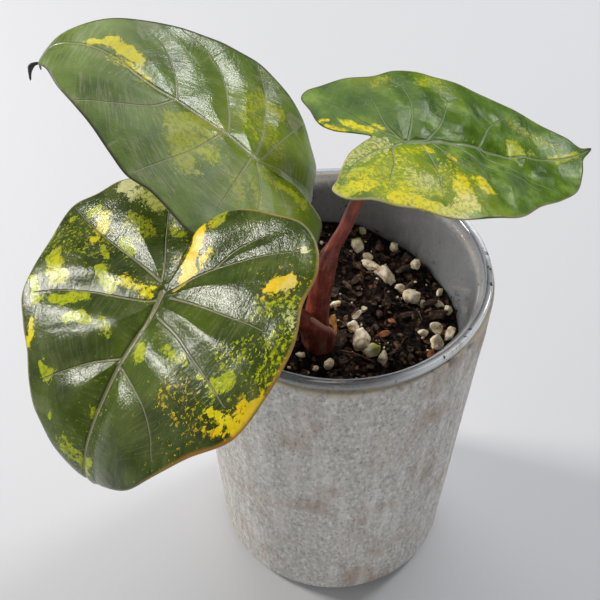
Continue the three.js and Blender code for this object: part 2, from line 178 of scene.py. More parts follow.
def smooth_path(points: np.ndarray, count: int, closed: bool = False) -> np.ndarray:
    """A centripetal Catmull-Rom curve through points.

    Args:
        points: the points to pass, one row each.
        count: how many places to return.
        closed: whether the curve returns to its start.

    Returns:
        The places, evenly spaced in the curve's own parameter.
    """
    points = np.asarray(points, float)
    spans = len(points) if closed else len(points) - 1
    if closed:
        padded = np.vstack([points[-1], points, points[0], points[1]])
        params = np.arange(count) / count * spans
    else:
        padded = np.vstack([2 * points[0] - points[1], points, 2 * points[-1] - points[-2]])
        params = np.linspace(0, spans, count)
    index = np.minimum(params.astype(int), spans - 1)
    t = (params - index)[:, None]
    p0, p1, p2, p3 = (padded[index + k] for k in range(4))
    knots = [np.maximum(np.linalg.norm(b - a, axis=1, keepdims=True) ** 0.5, 1e-4)
             for a, b in ((p0, p1), (p1, p2), (p2, p3))]
    d0, d1, d2 = knots
    m1 = ((p1 - p0) / d0 - (p2 - p0) / (d0 + d1) + (p2 - p1) / d1) * d1
    m2 = ((p2 - p1) / d1 - (p3 - p1) / (d1 + d2) + (p3 - p2) / d2) * d1
    c2 = -3 * p1 + 3 * p2 - 2 * m1 - m2
    c3 = 2 * p1 - 2 * p2 + m1 + m2
    return p1 + m1 * t + c2 * t ** 2 + c3 * t ** 3


def smoothstep(low: float, high: float, value: np.ndarray) -> np.ndarray:
    """Rises from 0 at low to 1 at high with level ends."""
    share = np.clip((value - low) / (high - low), 0, 1)
    return share * share * (3 - 2 * share)


def only(*objects: Object) -> None:
    """Selects these objects and nothing else."""
    bpy.ops.object.select_all(action="DESELECT")
    for obj in objects:
        obj.select_set(True)
    bpy.context.view_layer.objects.active = objects[0]


def loft(name: str, rings: np.ndarray) -> Object:
    """Extrudes one circle through every ring, and closes rings that have shrunk to a point.

    Args:
        name: the piece's name.
        rings: ring by ring and place by place in mm, so its shape is (rings, places, 3).

    Returns:
        A closed object with its faces outwards.
    """
    rings = np.asarray(rings, float)
    bpy.ops.object.select_all(action="DESELECT")
    bpy.ops.mesh.primitive_circle_add(vertices=rings.shape[1], radius=MM)
    obj = bpy.context.object
    obj.name = obj.data.name = name
    bpy.ops.object.mode_set(mode="EDIT")
    for _ in rings[1:]:
        bpy.ops.mesh.extrude_region_move()
    bpy.ops.object.mode_set(mode="OBJECT")
    obj.data.vertices.foreach_set("co", (rings * MM).ravel())
    return obj


def close_up(obj: Object) -> None:
    """Merges the doubled places of a lofted piece and turns its faces outwards."""
    only(obj)
    bpy.ops.object.mode_set(mode="EDIT")
    bpy.ops.mesh.select_all(action="SELECT")
    bpy.ops.mesh.remove_doubles(threshold=1e-7)
    bpy.ops.mesh.normals_make_consistent(inside=False)
    bpy.ops.object.mode_set(mode="OBJECT")
    bpy.ops.object.shade_smooth()


def store(obj: Object, name: str, values: np.ndarray) -> None:
    """Keeps a number, a vector or a colour for each vertex as a named attribute.

    Args:
        obj: the piece.
        name: the attribute's name.
        values: one, three or four numbers for each vertex.
    """
    rows = np.asarray(values, np.float32).reshape(len(obj.data.vertices), -1)
    kind, key = {1: ("FLOAT", "value"), 3: ("FLOAT_VECTOR", "vector"), 4: ("FLOAT_COLOR", "color")}[rows.shape[1]]
    obj.data.attributes.new(name, kind, "POINT").data.foreach_set(key, rows.ravel())


def revolve(profile: np.ndarray, sides: int) -> np.ndarray:
    """Rings of a turned piece.

    Args:
        profile: (radius, height) rows in mm.
        sides: places round each ring.

    Returns:
        Rings for loft.
    """
    turn = np.arange(sides) * 2 * math.pi / sides
    radius = profile[:, 0][:, None]
    height = np.broadcast_to(profile[:, 1][:, None], (len(profile), sides))
    return np.stack([radius * np.cos(turn), radius * np.sin(turn), height], axis=-1)


def rounded(corners: list[tuple[float, float, float]], step: float) -> np.ndarray:
    """A profile of straight runs with rounded corners.

    Args:
        corners: (radius, height, rounding) rows in mm.
        step: the longest straight piece in mm.

    Returns:
        (radius, height) rows.
    """
    rows = []
    for k, (radius, height, bend) in enumerate(corners):
        corner = np.array([radius, height])
        if bend == 0 or k in (0, len(corners) - 1):
            rows.append(corner)
            continue
        before = np.array(corners[k - 1][:2]) - corner
        after = np.array(corners[k + 1][:2]) - corner
        start = corner + before / np.linalg.norm(before) * bend
        end = corner + after / np.linalg.norm(after) * bend
        for t in np.linspace(0, 1, 7):
            rows.append((1 - t) ** 2 * start + 2 * t * (1 - t) * corner + t ** 2 * end)
    profile = [rows[0]]
    for row in rows[1:]:
        length = np.linalg.norm(row - profile[-1])
        count = max(1, math.ceil(length / step))
        last = profile[-1]
        profile.extend(last + (row - last) * k / count for k in range(1, count + 1))
    return np.array(profile)


def finish_piece(obj: Object, slot: str, *nodes: str) -> None:
    """Puts a piece on the plant's one body and hides the CAD nodes that it stands for.

    Args:
        obj: the piece, with its place in its mesh.
        slot: the record's material slot; not used.
        nodes: CAD nodes that it replaces.
    """
    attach(obj, BODY)
    if nodes:
        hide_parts(*nodes)
    LOG.info("%s: %d vertices, replaces %s", obj.name, len(obj.data.vertices), ", ".join(nodes) or "nothing")


# Finishes


@dataclass(frozen=True)
class MattStoneware:
    """Stoneware cast in a rough mould and left unglazed: matt, mottled grey, with brown water marks."""

    grain_mm: float = 1.7
    fleck_mm: float = 1.1
    stain_mm: float = 20.0
    streak_mm: float = 5.0
    stretch: float = 0.55
    colours: Stops = ((0.32, "#9d9a96"), (0.44, "#bfbcb7"), (0.56, "#d0cdc8"), (0.68, "#eeebe5"))
    stain: str = "#a68d79"
    worn: str = "#cdbda3"
    fleck: str = "#7a7672"
    lime: str = "#e9e7e3"
    inner_wall_darker: str = "#6b655e"

    def build(self) -> Material:
        """Makes the material."""
        material, tree, shader = new_material("matt_mottled_stoneware")
        place = add_node(tree, "TexCoord").outputs["Object"]
        worn, chips, inside = (add_node(tree, "Attribute", attribute_name=name).outputs["Fac"]
                               for name in ("worn", "chip", "inside"))
        # The mottling runs down the wall, as the mould's coating did, and the streaks run down further
        drawn = add_node(tree, "Mapping", {"Vector": place, "Scale": (1, 1, self.stretch)})
        runs = add_node(tree, "Mapping", {"Vector": place, "Scale": (1, 1, 0.08)})
        grain = add_node(tree, "TexNoise", {
            "Vector": drawn, "Scale": 1 / (self.grain_mm * MM), "Detail": 6.0, "Roughness": 0.68})
        colour = add_node(tree, "ValToRGB", {"Fac": grain}, color_ramp=self.colours)
        # Brown water marks, then pale lime streaks that water has left on its way down, then dark pits
        for way, size, detail, low, high, share, over in (
                (place, self.stain_mm, 3.0, 0.52, 0.68, 0.62, self.stain),
                (runs, self.streak_mm, 5.0, 0.5, 0.68, 0.45, self.lime),
                (drawn, self.fleck_mm, 2.0, 0.6, 0.7, 0.6, self.fleck)):
            cloud = add_node(tree, "TexNoise", {"Vector": way, "Scale": 1 / (size * MM), "Detail": detail})
            mask = add_node(tree, "MapRange", {"Value": cloud, "From Min": low, "From Max": high, "To Max": share})
            colour = add_node(tree, "MixRGB", {"Fac": mask, "Color1": colour, "Color2": over})
        ragged = add_node(tree, "Math", {0: worn, 1: grain}, operation="MULTIPLY")
        bare = add_node(tree, "MapRange", {"Value": ragged, "From Min": 0.34, "From Max": 0.5})
        # The worn rim, the chips, then the inner wall made darker, fading out towards the rim
        for mask, over in ((bare, self.worn), (chips, self.fleck), (inside, self.inner_wall_darker)):
            colour = add_node(tree, "MixRGB", {"Fac": mask, "Color1": colour, "Color2": over})
        bump = add_node(tree, "Bump", {"Height": grain, "Strength": 0.55, "Distance": 0.5 * MM})
        feed(tree, shader, {"Base Color": colour, "Normal": bump, "Roughness": 0.85, "Specular IOR Level": 0.3})
        return material


@dataclass(frozen=True)
class ClearPolypropylene:
    """Thin clear polypropylene, injection moulded: seen through where it faces the eye, grey at its turned edges."""

    tint: str = "#b4bcc6"
    mark: str = "#a08c78"
    dirt: str = "#2e1d14"
    ring: str = "#3f4c66"
    # Colour of the painted reflection and the painted highlight on the lip
    painted_light: str = "#f2f6f9"
    thinnest: float = 0.07
    thickest: float = 0.6
    lip: float = 0.42
    mark_mm: float = 9.0
    speck_mm: float = 1.5
    spread_mm: float = 14.0

    def build(self) -> Material:
        """Makes the material."""
        material, tree, shader = new_material("clear_polypropylene")
        place = add_node(tree, "TexCoord").outputs["Object"]
        lip, glint = (add_node(tree, "Attribute", attribute_name=name).outputs["Fac"] for name in ("lip", "glint"))
        facing = add_node(tree, "LayerWeight", {"Blend": 0.3}).outputs["Facing"]
        edge = add_node(tree, "MapRange", {"Value": facing, "To Min": self.thinnest, "To Max": self.thickest})
        rolled = add_node(tree, "MapRange", {"Value": lip, "To Max": self.lip})
        cover = add_node(tree, "Math", {0: edge, 1: rolled}, operation="ADD")
        # Dried water and smeared mix on the wall
        drawn = add_node(tree, "Mapping", {"Vector": place, "Scale": (1, 1, 0.45)})
        smear = add_node(tree, "TexNoise", {
            "Vector": drawn, "Scale": 1 / (self.mark_mm * MM), "Detail": 8.0, "Roughness": 0.7})
        marked = add_node(tree, "MapRange", {"Value": smear, "From Min": 0.54, "From Max": 0.74, "To Max": 0.4})
        clouded = add_node(tree, "Math", {0: cover, 1: marked}, operation="ADD", use_clamp=True)
        stained = add_node(tree, "MapRange", {"Value": marked, "To Max": 2.2})
        # Specks of mix thrown up by watering
        thrown = add_node(tree, "TexNoise", {"Vector": place, "Scale": 1 / (self.speck_mm * MM), "Detail": 3.0})
        spread = add_node(tree, "TexNoise", {"Vector": place, "Scale": 1 / (self.spread_mm * MM), "Detail": 2.0})
        both = add_node(tree, "Math", {0: thrown, 1: spread}, operation="ADD")
        speck = add_node(tree, "MapRange", {"Value": both, "From Min": 1.23, "From Max": 1.29})
        # The thick rolled lip is dark seen straight on and painted bright where it turns away, a painted reflection,
        # and the outer edge of its right side gets a painted highlight
        away = add_node(tree, "MapRange", {"Value": facing, "From Min": 0.14, "From Max": 0.42})
        painted_reflection = add_node(tree, "MixRGB", {"Fac": away, "Color1": self.ring, "Color2": self.painted_light})
        bright = add_node(tree, "MixRGB", {"Fac": glint, "Color1": painted_reflection, "Color2": self.painted_light})
        colour = add_node(tree, "MixRGB", {"Fac": lip, "Color1": self.tint, "Color2": bright})
        for mask, over in ((stained, self.mark), (speck, self.dirt)):
            colour = add_node(tree, "MixRGB", {"Fac": mask, "Color1": colour, "Color2": over})
        filled = add_node(tree, "Math", {0: glint, 1: 0.55, 2: clouded}, operation="MULTIPLY_ADD")
        solid = add_node(tree, "Math", {0: filled, 1: speck}, operation="ADD", use_clamp=True)
        feed(tree, shader, {
            "Alpha": solid, "Base Color": colour, "Roughness": 0.1, "IOR": 1.6, "Coat Weight": 1.0,
            "Coat Roughness": 0.05})
        return material


@dataclass(frozen=True)
class PottingMix:
    """Damp peat and composted bark: almost black, crumbly and without gloss."""

    crumb_mm: float = 1.4
    flake_mm: float = 2.3
    colours: Stops = ((0.36, "#070504"), (0.5, "#130c09"), (0.6, "#2b1c14"), (0.7, "#5d4030"))
    flakes: Stops = ((0.0, "#0c0806"), (0.5, "#1c120d"), (0.74, "#46301f"), (0.92, "#7d5a41"))

    def build(self) -> Material:
        """Makes the material."""
        material, tree, shader = new_material("damp_potting_mix")
        place = add_node(tree, "TexCoord").outputs["Object"]
        crumb = add_node(tree, "TexNoise", {
            "Vector": place, "Scale": 1 / (self.crumb_mm * MM), "Detail": 7.0, "Roughness": 0.7})
        tone = add_node(tree, "ValToRGB", {"Fac": crumb}, color_ramp=self.colours)
        pushed = add_node(tree, "MixRGB", {"Fac": 0.002, "Color1": place, "Color2": crumb.outputs["Color"]})
        cells = add_node(tree, "TexVoronoi", {"Vector": pushed, "Scale": 1 / (self.flake_mm * MM)})
        chance = add_node(tree, "SeparateColor", {"Color": cells.outputs["Color"]})
        flake = add_node(tree, "ValToRGB", {"Fac": chance}, color_ramp=self.flakes)
        inner = add_node(tree, "MapRange", {
            "Value": cells, "From Min": 0.35, "From Max": 0.5, "To Min": 0.85, "To Max": 0.0})
        strewn = add_node(tree, "MixRGB", {"Fac": inner, "Color1": tone, "Color2": flake})
        first = add_node(tree, "Bump", {"Height": cells, "Strength": 0.8, "Distance": 0.9 * MM}, invert=True)
        bump = add_node(tree, "Bump", {"Height": crumb, "Strength": 1.0, "Distance": 0.8 * MM, "Normal": first})
        feed(tree, shader, {"Base Color": strewn, "Normal": bump, "Roughness": 0.85, "Specular IOR Level": 0.2})
        return material


@dataclass(frozen=True)
class Crumbs:
    """Loose bits of bark, fibre or pumice: each bit has a tone of its own, with fine grain on it."""

    name: str
    colours: Stops
    patch_mm: float
    grain_mm: float
    roughness: float = 0.85
    # Green spots: (x, y, z, reach) in mm
    algae: Rows = ()
    algae_colour: str = "#8f9a22"

    def build(self) -> Material:
        """Makes the material."""
        material, tree, shader = new_material(self.name)
        place = add_node(tree, "TexCoord").outputs["Object"]
        coarse = add_node(tree, "TexNoise", {"Vector": place, "Scale": 1 / (self.patch_mm * MM), "Detail": 1.0})
        fine = add_node(tree, "TexNoise", {"Vector": place, "Scale": 1 / (self.grain_mm * MM), "Detail": 4.0})
        both = add_node(tree, "MixRGB", {"Fac": 0.4, "Color1": coarse, "Color2": fine})
        colour = add_node(tree, "ValToRGB", {"Fac": both}, color_ramp=self.colours)
        for x, y, z, reach in self.algae:
            gap = add_node(tree, "VectorMath", {0: place, 1: (x * MM, y * MM, z * MM)}, operation="DISTANCE")
            grown = add_node(tree, "MapRange", {
                "Value": gap.outputs["Value"], "From Min": 0.35 * reach * MM, "From Max": reach * MM, "To Min": 0.9,
                "To Max": 0.0})
            colour = add_node(tree, "MixRGB", {"Fac": grown, "Color1": colour, "Color2": self.algae_colour})
        bump = add_node(tree, "Bump", {"Height": fine, "Strength": 0.8, "Distance": 0.35 * MM})
        feed(tree, shader, {"Base Color": colour, "Normal": bump, "Roughness": self.roughness})
        return material


@dataclass(frozen=True)
class StalkSkin:
    """Living stalk skin: wine red, waxy and half glossy, with fine lines along it and a paler sheath edge."""

    name: str = "wine_red_stalk_skin"
    dark: str = "#4a1e19"
    body: str = "#82372b"
    bright: str = "#ac5a48"
    pale: str = "#c08278"
    speck: str = "#b08a74"
    shaded: str = "#3e1a15"
    line_mm: float = 0.9

    def build(self) -> Material:
        """Makes the material."""
        material, tree, shader = new_material(self.name)
        around = add_node(tree, "Attribute", attribute_name="skin").outputs["Vector"]
        shade, edge = (add_node(tree, "Attribute", attribute_name=name).outputs["Fac"] for name in ("shade", "pale"))
        drawn = add_node(tree, "Mapping", {"Vector": around, "Scale": (1, 0.08, 1)})
        lines = add_node(tree, "TexNoise", {"Vector": drawn, "Scale": 1 / self.line_mm, "Detail": 4.0})
        cloud = add_node(tree, "TexNoise", {"Vector": around, "Scale": 0.16, "Detail": 3.0})
        both = add_node(tree, "MixRGB", {"Fac": 0.5, "Color1": lines, "Color2": cloud})
        colour = add_node(tree, "ValToRGB", {"Fac": both}, color_ramp=(
            (0.32, self.dark), (0.5, self.body), (0.68, self.bright)))
        dots = add_node(tree, "TexNoise", {"Vector": around, "Scale": 0.8, "Detail": 3.0})
        dotted = add_node(tree, "MapRange", {"Value": dots, "From Min": 0.63, "From Max": 0.7, "To Max": 0.55})
        for mask, over in ((dotted, self.speck), (shade, self.shaded), (edge, self.pale)):
            colour = add_node(tree, "MixRGB", {"Fac": mask, "Color1": colour, "Color2": over})
        bump = add_node(tree, "Bump", {"Height": lines, "Strength": 0.3, "Distance": 0.2 * MM})
        feed(tree, shader, {
            "Base Color": colour, "Normal": bump, "Roughness": 0.42, "Subsurface Weight": 0.08,
            "Subsurface Radius": (1.0, 0.3, 0.2), "Subsurface Scale": 1.2 * MM})
        return material


@dataclass(frozen=True)
class LeafSkin:
    """Waxy leaf skin, its upper face: deep green between sunken pale veins, splashed with yellow."""

    name: str
    deep: str
    green: str
    light: str
    vein: str
    margin: str
    gold_margin: str = "#c98f3a"
    tip: str = "#33262a"
    roughness: float = 0.155
    ragged_mm: float = 2.0
    fleck_mm: float = 1.25
    mottle_mm: float = 1.7
    cloud_mm: float = 14.0
    quilt_mm: float = 4.5
    glow: float = 0.04
    relief: float = 1.0
    threads: float = 0.13
    # Warmer green of the painted backlight on the thin parts
    warm: str = "#62780f"
    gloss: float = 0.27
    # How dark the painted shade in the veins' grooves is, which also sets the strength of the veins' bump
    groove: float = 0.5
    # How the splashes lie on the green: width of their edges' fade, and their cover
    fade: float = 0.07
    cover: float = 1.0
    # Width of the plain hem at the margin, in mm
    hem: float = 0.75
    # How much green stays in the rich yellow tissue, and its colour
    mottle: float = 0.2
    dull: str = "#71821c"

    def splashed(self, tree: NodeTree, flat: NodeSocket, colour: Node) -> Node:
        """Lays the yellow splashes and flecks over the green.

        Args:
            tree: the material's node tree.
            flat: the blade's flat coordinates in mm.
            colour: the green below.

        Returns:
            The node of the colour.
        """
        tint = add_node(tree, "Attribute", attribute_name="tint").outputs["Color"]
        fleck, patch = (add_node(tree, "Attribute", attribute_name=name).outputs["Fac"] for name in ("fleck", "patch"))
        # Half-strength cells beside the flecks, then the flecks, then the solid splashes with ragged edges
        for size, reach, share in ((2 * self.fleck_mm, 0.3, 0.4), (self.fleck_mm, 0.27, 0.95)):
            grain = add_node(tree, "TexNoise", {
                "Vector": flat, "Scale": 1 / size, "Detail": 4.0, "Roughness": 0.68, "Distortion": 0.4})
            wanted = add_node(tree, "Math", {0: fleck, 1: reach, 2: -0.71}, operation="MULTIPLY_ADD")
            spare = add_node(tree, "Math", {0: grain, 1: wanted}, operation="ADD")
            mask = add_node(tree, "MapRange", {"Value": spare, "From Min": -0.008, "From Max": 0.03, "To Max": share})
            colour = add_node(tree, "MixRGB", {"Fac": mask, "Color1": colour, "Color2": tint})
        rough = add_node(tree, "TexNoise", {
            "Vector": flat, "Scale": 1 / self.ragged_mm, "Detail": 8.0, "Roughness": 0.75, "Distortion": 0.6})
        even = add_node(tree, "MapRange", {"Value": rough, "From Min": 0.26, "From Max": 0.74})
        spare = add_node(tree, "Math", {0: patch, 1: even}, operation="SUBTRACT")
        mask = add_node(tree, "MapRange", {
            "Value": spare, "From Min": -0.02, "From Max": self.fade, "To Max": self.cover})
        mottled = add_node(tree, "TexNoise", {
            "Vector": flat, "Scale": 1 / self.mottle_mm, "Detail": 2.0, "Roughness": 0.6})
        dulled = add_node(tree, "MapRange", {"Value": mottled, "From Min": 0.51, "From Max": 0.58, "To Max": 0.62})
        # Rich yellow tissue has no green cells left in it
        red = add_node(tree, "SeparateColor", {"Color": tint})
        cells = add_node(tree, "MapRange", {
            "Value": red, "From Min": 0.5, "From Max": 0.75, "To Min": 1.0, "To Max": self.mottle})
        greened = add_node(tree, "Math", {0: dulled, 1: cells}, operation="MULTIPLY")
        splash = add_node(tree, "MixRGB", {"Fac": greened, "Color1": tint, "Color2": self.dull})
        return add_node(tree, "MixRGB", {"Fac": mask, "Color1": colour, "Color2": splash})

    def vein_width(self, tree: NodeTree, weave: NodeSocket) -> Node:
        """Distance from the nearest vein's middle, in that vein's half widths.

        Args:
            tree: the material's node tree.
            weave: the run along the nearest vein, the distance to its side, and its half width.

        Returns:
            The node of the distance.
        """
        parts = add_node(tree, "SeparateXYZ", {"Vector": weave})
        side = add_node(tree, "Math", {0: parts.outputs["Y"]}, operation="ABSOLUTE")
        apart = add_node(tree, "Attribute", attribute_name="vein").outputs["Fac"]
        # The side distance changes sign between veins too, which the plain distance rules out
        guard = add_node(tree, "Math", {0: apart, 1: 0.9}, operation="SUBTRACT")
        nearest = add_node(tree, "Math", {0: side, 1: guard}, operation="MAXIMUM")
        return add_node(tree, "Math", {0: nearest, 1: parts.outputs["Z"]}, operation="DIVIDE")

    def build(self) -> Material:
        """Makes the material."""
        material, tree, shader = new_material(self.name)
        flat, weave = (add_node(tree, "Attribute", attribute_name=name).outputs["Vector"]
                       for name in ("flat", "weave"))
        through, calm, edge, gold, dark, patch, satin = (
            add_node(tree, "Attribute", attribute_name=name).outputs["Fac"]
            for name in ("warm", "calm", "edge", "gold", "tip", "patch", "satin"))
        cloud = add_node(tree, "TexNoise", {
            "Vector": flat, "Scale": 1 / self.cloud_mm, "Detail": 6.0, "Roughness": 0.62})
        tone = add_node(tree, "ValToRGB", {"Fac": cloud}, color_ramp=(
            (0.34, self.deep), (0.52, self.green), (0.70, self.light)))
        # Painted backlight: light from behind is painted as a warmer green on the thin parts
        painted_light = add_node(tree, "MixRGB", {"Fac": through, "Color1": tone, "Color2": self.warm})
        patched = self.splashed(tree, flat, painted_light)

        # Fine pale lines run from each vein to the next
        ladder = add_node(tree, "Mapping", {"Vector": weave, "Scale": (0.6, 0.035, 0)})
        rungs = add_node(tree, "TexNoise", {"Vector": ladder, "Scale": 1.0, "Detail": 4.0, "Distortion": 0.15})
        ridge = add_node(tree, "Math", {0: rungs, 1: 0.5}, operation="SUBTRACT")
        nearby = add_node(tree, "Math", {0: ridge}, operation="ABSOLUTE")
        thread = add_node(tree, "MapRange", {"Value": nearby, "From Max": 0.03, "To Min": self.threads, "To Max": 0.0})
        threaded = add_node(tree, "Math", {0: thread, 1: calm}, operation="MULTIPLY")
        colour = add_node(tree, "MixRGB", {"Fac": threaded, "Color1": patched, "Color2": self.vein})

        # Veins: a pale band with a darker middle, set in a groove darkened with painted shade
        width = self.vein_width(tree, weave)
        groove, core, middle = (
            add_node(tree, "MapRange", {
                "Value": width, "From Min": low, "From Max": high, "To Min": share, "To Max": 0.0})
            for low, high, share in ((1.0, 2.6, self.groove), (0.75, 1.15, 0.72), (0.1, 0.7, 0.4)))
        band = add_node(tree, "MixRGB", {"Fac": middle, "Color1": self.vein, "Color2": self.green})

        # The margin is a hard brown or golden hem, and the drip tip is dark
        reach = add_node(tree, "MapRange", {"Value": gold, "To Min": self.hem, "To Max": 1.6})
        rim = add_node(tree, "MapRange", {
            "Value": edge, "From Min": 0.25, "From Max": reach, "To Min": 0.9, "To Max": 0.0})
        hem = add_node(tree, "MixRGB", {"Fac": gold, "Color1": self.margin, "Color2": self.gold_margin})
        for mask, over in ((groove, self.deep), (core, band), (rim, hem), (dark, self.tip)):
            colour = add_node(tree, "MixRGB", {"Fac": mask, "Color1": colour, "Color2": over})

        # The skin's relief breaks the shine: the veins' grooves, fine lines off each vein, quilting, small cells
        lined = add_node(tree, "Math", {0: rungs, 1: calm}, operation="MULTIPLY")
        cells = add_node(tree, "TexNoise", {"Vector": flat, "Scale": 1.3, "Detail": 3.0, "Roughness": 0.6})
        sink = add_node(tree, "MapRange", {"Value": width, "From Min": 0.2, "From Max": 1.9},
                        interpolation_type="SMOOTHSTEP")
        quilt = add_node(tree, "TexNoise", {"Vector": flat, "Scale": 1 / self.quilt_mm, "Detail": 2.0})
        normal = add_node(tree, "Bump", {"Height": sink, "Strength": 0.4 + 0.8 * self.groove, "Distance": 0.4 * MM})
        for height, strength, deep in ((lined, 0.25, 0.45), (quilt, 0.26, 0.7), (cells, 0.24, 0.4)):
            normal = add_node(tree, "Bump", {
                "Height": height, "Strength": strength * self.relief, "Distance": deep * MM, "Normal": normal})
        worn = add_node(tree, "MapRange", {
            "Value": cells, "From Min": 0.3, "From Max": 0.7, "To Min": self.roughness - 0.04,
            "To Max": self.roughness + 0.05})
        # Yellow tissue is thinner and duller, and so is a half that the dust has dulled
        yellow = add_node(tree, "SeparateColor", {"Color": add_node(tree, "Attribute", attribute_name="tint")})
        rich = add_node(tree, "MapRange", {"Value": yellow, "From Min": 0.6, "From Max": 0.8, "To Max": 0.1})
        dull = add_node(tree, "Math", {0: patch, 1: rich}, operation="MULTIPLY")
        dusty = add_node(tree, "Math", {0: satin, 1: 0.26, 2: worn}, operation="MULTIPLY_ADD")
        sheen = add_node(tree, "Math", {0: dusty, 1: dull}, operation="ADD")
        feed(tree, shader, {
            "Base Color": colour, "Normal": normal, "Roughness": sheen, "Specular IOR Level": self.gloss,
            "Subsurface Weight": self.glow, "Subsurface Radius": (0.5, 1.0, 0.1), "Subsurface Scale": 1.5 * MM})
        return material


@dataclass(frozen=True)
class LeafBack:
    """Leaf skin, its lower face: paler and duller, with raised reddish veins."""

    green: str = "#5a6c3c"
    light: str = "#768650"
    vein: str = "#86604a"
    cloud_mm: float = 9.0
    ragged_mm: float = 2.4

    def build(self) -> Material:
        """Makes the material."""
        material, tree, shader = new_material("leaf_back_skin")
        flat = add_node(tree, "Attribute", attribute_name="flat").outputs["Vector"]
        tint = add_node(tree, "Attribute", attribute_name="tint").outputs["Color"]
        patch, vein = (add_node(tree, "Attribute", attribute_name=name).outputs["Fac"] for name in ("patch", "vein"))
        cloud = add_node(tree, "TexNoise", {"Vector": flat, "Scale": 1 / self.cloud_mm, "Detail": 6.0})
        colour = add_node(tree, "ValToRGB", {"Fac": cloud}, color_ramp=((0.35, self.green), (0.65, self.light)))
        rough = add_node(tree, "TexNoise", {
            "Vector": flat, "Scale": 1 / self.ragged_mm, "Detail": 8.0, "Roughness": 0.75, "Distortion": 0.6})
        even = add_node(tree, "MapRange", {"Value": rough, "From Min": 0.26, "From Max": 0.74})
        spare = add_node(tree, "Math", {0: patch, 1: even}, operation="SUBTRACT")
        mask = add_node(tree, "MapRange", {"Value": spare, "From Min": -0.02, "From Max": 0.07, "To Max": 0.6})
        core = add_node(tree, "MapRange", {
            "Value": vein, "From Min": 0.5, "From Max": 1.3, "To Min": 0.75, "To Max": 0.0})
        for share, over in ((mask, tint), (core, self.vein)):
            colour = add_node(tree, "MixRGB", {"Fac": share, "Color1": colour, "Color2": over})
        cells = add_node(tree, "TexNoise", {"Vector": flat, "Scale": 1.1, "Detail": 4.0})
        bump = add_node(tree, "Bump", {"Height": cells, "Strength": 0.35, "Distance": 0.2 * MM})
        feed(tree, shader, {
            "Base Color": colour, "Normal": bump, "Roughness": 0.55, "Subsurface Weight": 0.08,
            "Subsurface Radius": (0.5, 1.0, 0.1), "Subsurface Scale": 1.5 * MM})
        return material


# Pots


@dataclass
class CoverPot:
    """The tall tapered outer pot."""

    height: float = 166.4
    rim_radius: float = 65.0
    base_radius: float = 53.5
    rim_wall: float = 6.8
    base_wall: float = 7.2
    floor: float = 9.0
    foot_round: float = 6.5
    rim_round: float = 1.7
    sides: int = 200
    step: float = 2.4
    # Chips in the rim: (x, y) in mm, reach in mm
    chips: Rows = (
        (50.5, -40.0, 2.0), (42.5, -47.5, 2.6), (21.0, -61.0, 1.6), (-30.0, -57.0, 1.8), (57.0, 28.0, 1.9),
        (-61.0, 18.0, 2.2))

    def build(self, finish: MattStoneware) -> Object:
        """Builds the pot with its uneven cast wall and worn rim.

        Args:
            finish: the pot's finish.

        Returns:
            The piece.
        """
        rise = (self.rim_radius - self.base_radius) / self.height
        inner_top = self.rim_radius - self.rim_wall
        inner_foot = self.base_radius + rise * self.floor - self.base_wall
        profile = rounded([
            (0, 0, 0), (self.base_radius, 0, self.foot_round), (self.rim_radius, self.height, self.rim_round),
            (inner_top, self.height, self.rim_round), (inner_foot, self.floor, 1.2), (0, self.floor, 0)], self.step)
        rings = revolve(profile, self.sides)
        places = rings.reshape(-1, 3)
        radius = np.hypot(places[:, 0], places[:, 1])
        wall = (radius > inner_foot - 2) & (places[:, 2] > 1)
        drawn = places * (1, 1, 0.4)
        uneven = 0.16 * lumps(places, 21, 1) + 0.10 * lumps(drawn, 4.5, 2) + 0.05 * lumps(drawn, 2.2, 3)
        rim = smoothstep(self.height - 8, self.height - 1.5, places[:, 2]) * (radius > inner_top - 1)
        uneven = uneven - 0.35 * rim * smoothstep(0.25, 0.8, lumps(places, 3.2, 4))
        chip = np.zeros(len(places))
        for x, y, reach in self.chips:
            gap = np.linalg.norm(places - (x, y, self.height - 1.5), axis=1) * (1 + 0.35 * lumps(places, 1.6, 5))
            chip = np.maximum(chip, 1 - smoothstep(0.5 * reach, reach, gap))
        uneven = np.where(wall, uneven - 0.7 * chip, 0)
        scale = 1 + uneven / np.maximum(radius, 1)
        places[:, :2] *= scale[:, None]
        places[:, 2] -= np.where(places[:, 2] > self.height - 0.4, 0.5 * chip + 0.12 * (1 + lumps(places, 3, 6)), 0)
        obj = loft("cover_pot_stoneware", places.reshape(rings.shape))
        flat_top = smoothstep(self.height - 1.2, self.height - 0.4, places[:, 2])
        store(obj, "worn", np.maximum(rim * (0.45 + 0.6 * lumps(places, 15, 7)), 0.9 * flat_top))
        # The inner wall is made darker, fading out towards the rim
        middle = self.base_radius + rise * places[:, 2] - 0.5 * self.rim_wall
        store(obj, "inside", 0.85 * (radius < middle) * (places[:, 2] > 0.5 * self.floor)
              * (1 - smoothstep(self.height - 5, self.height - 1, places[:, 2])))
        store(obj, "chip", 0.85 * chip)
        close_up(obj)
        obj.data.materials.append(finish.build())
        finish_piece(obj, "cover_pot", "cover_pot")
        return obj


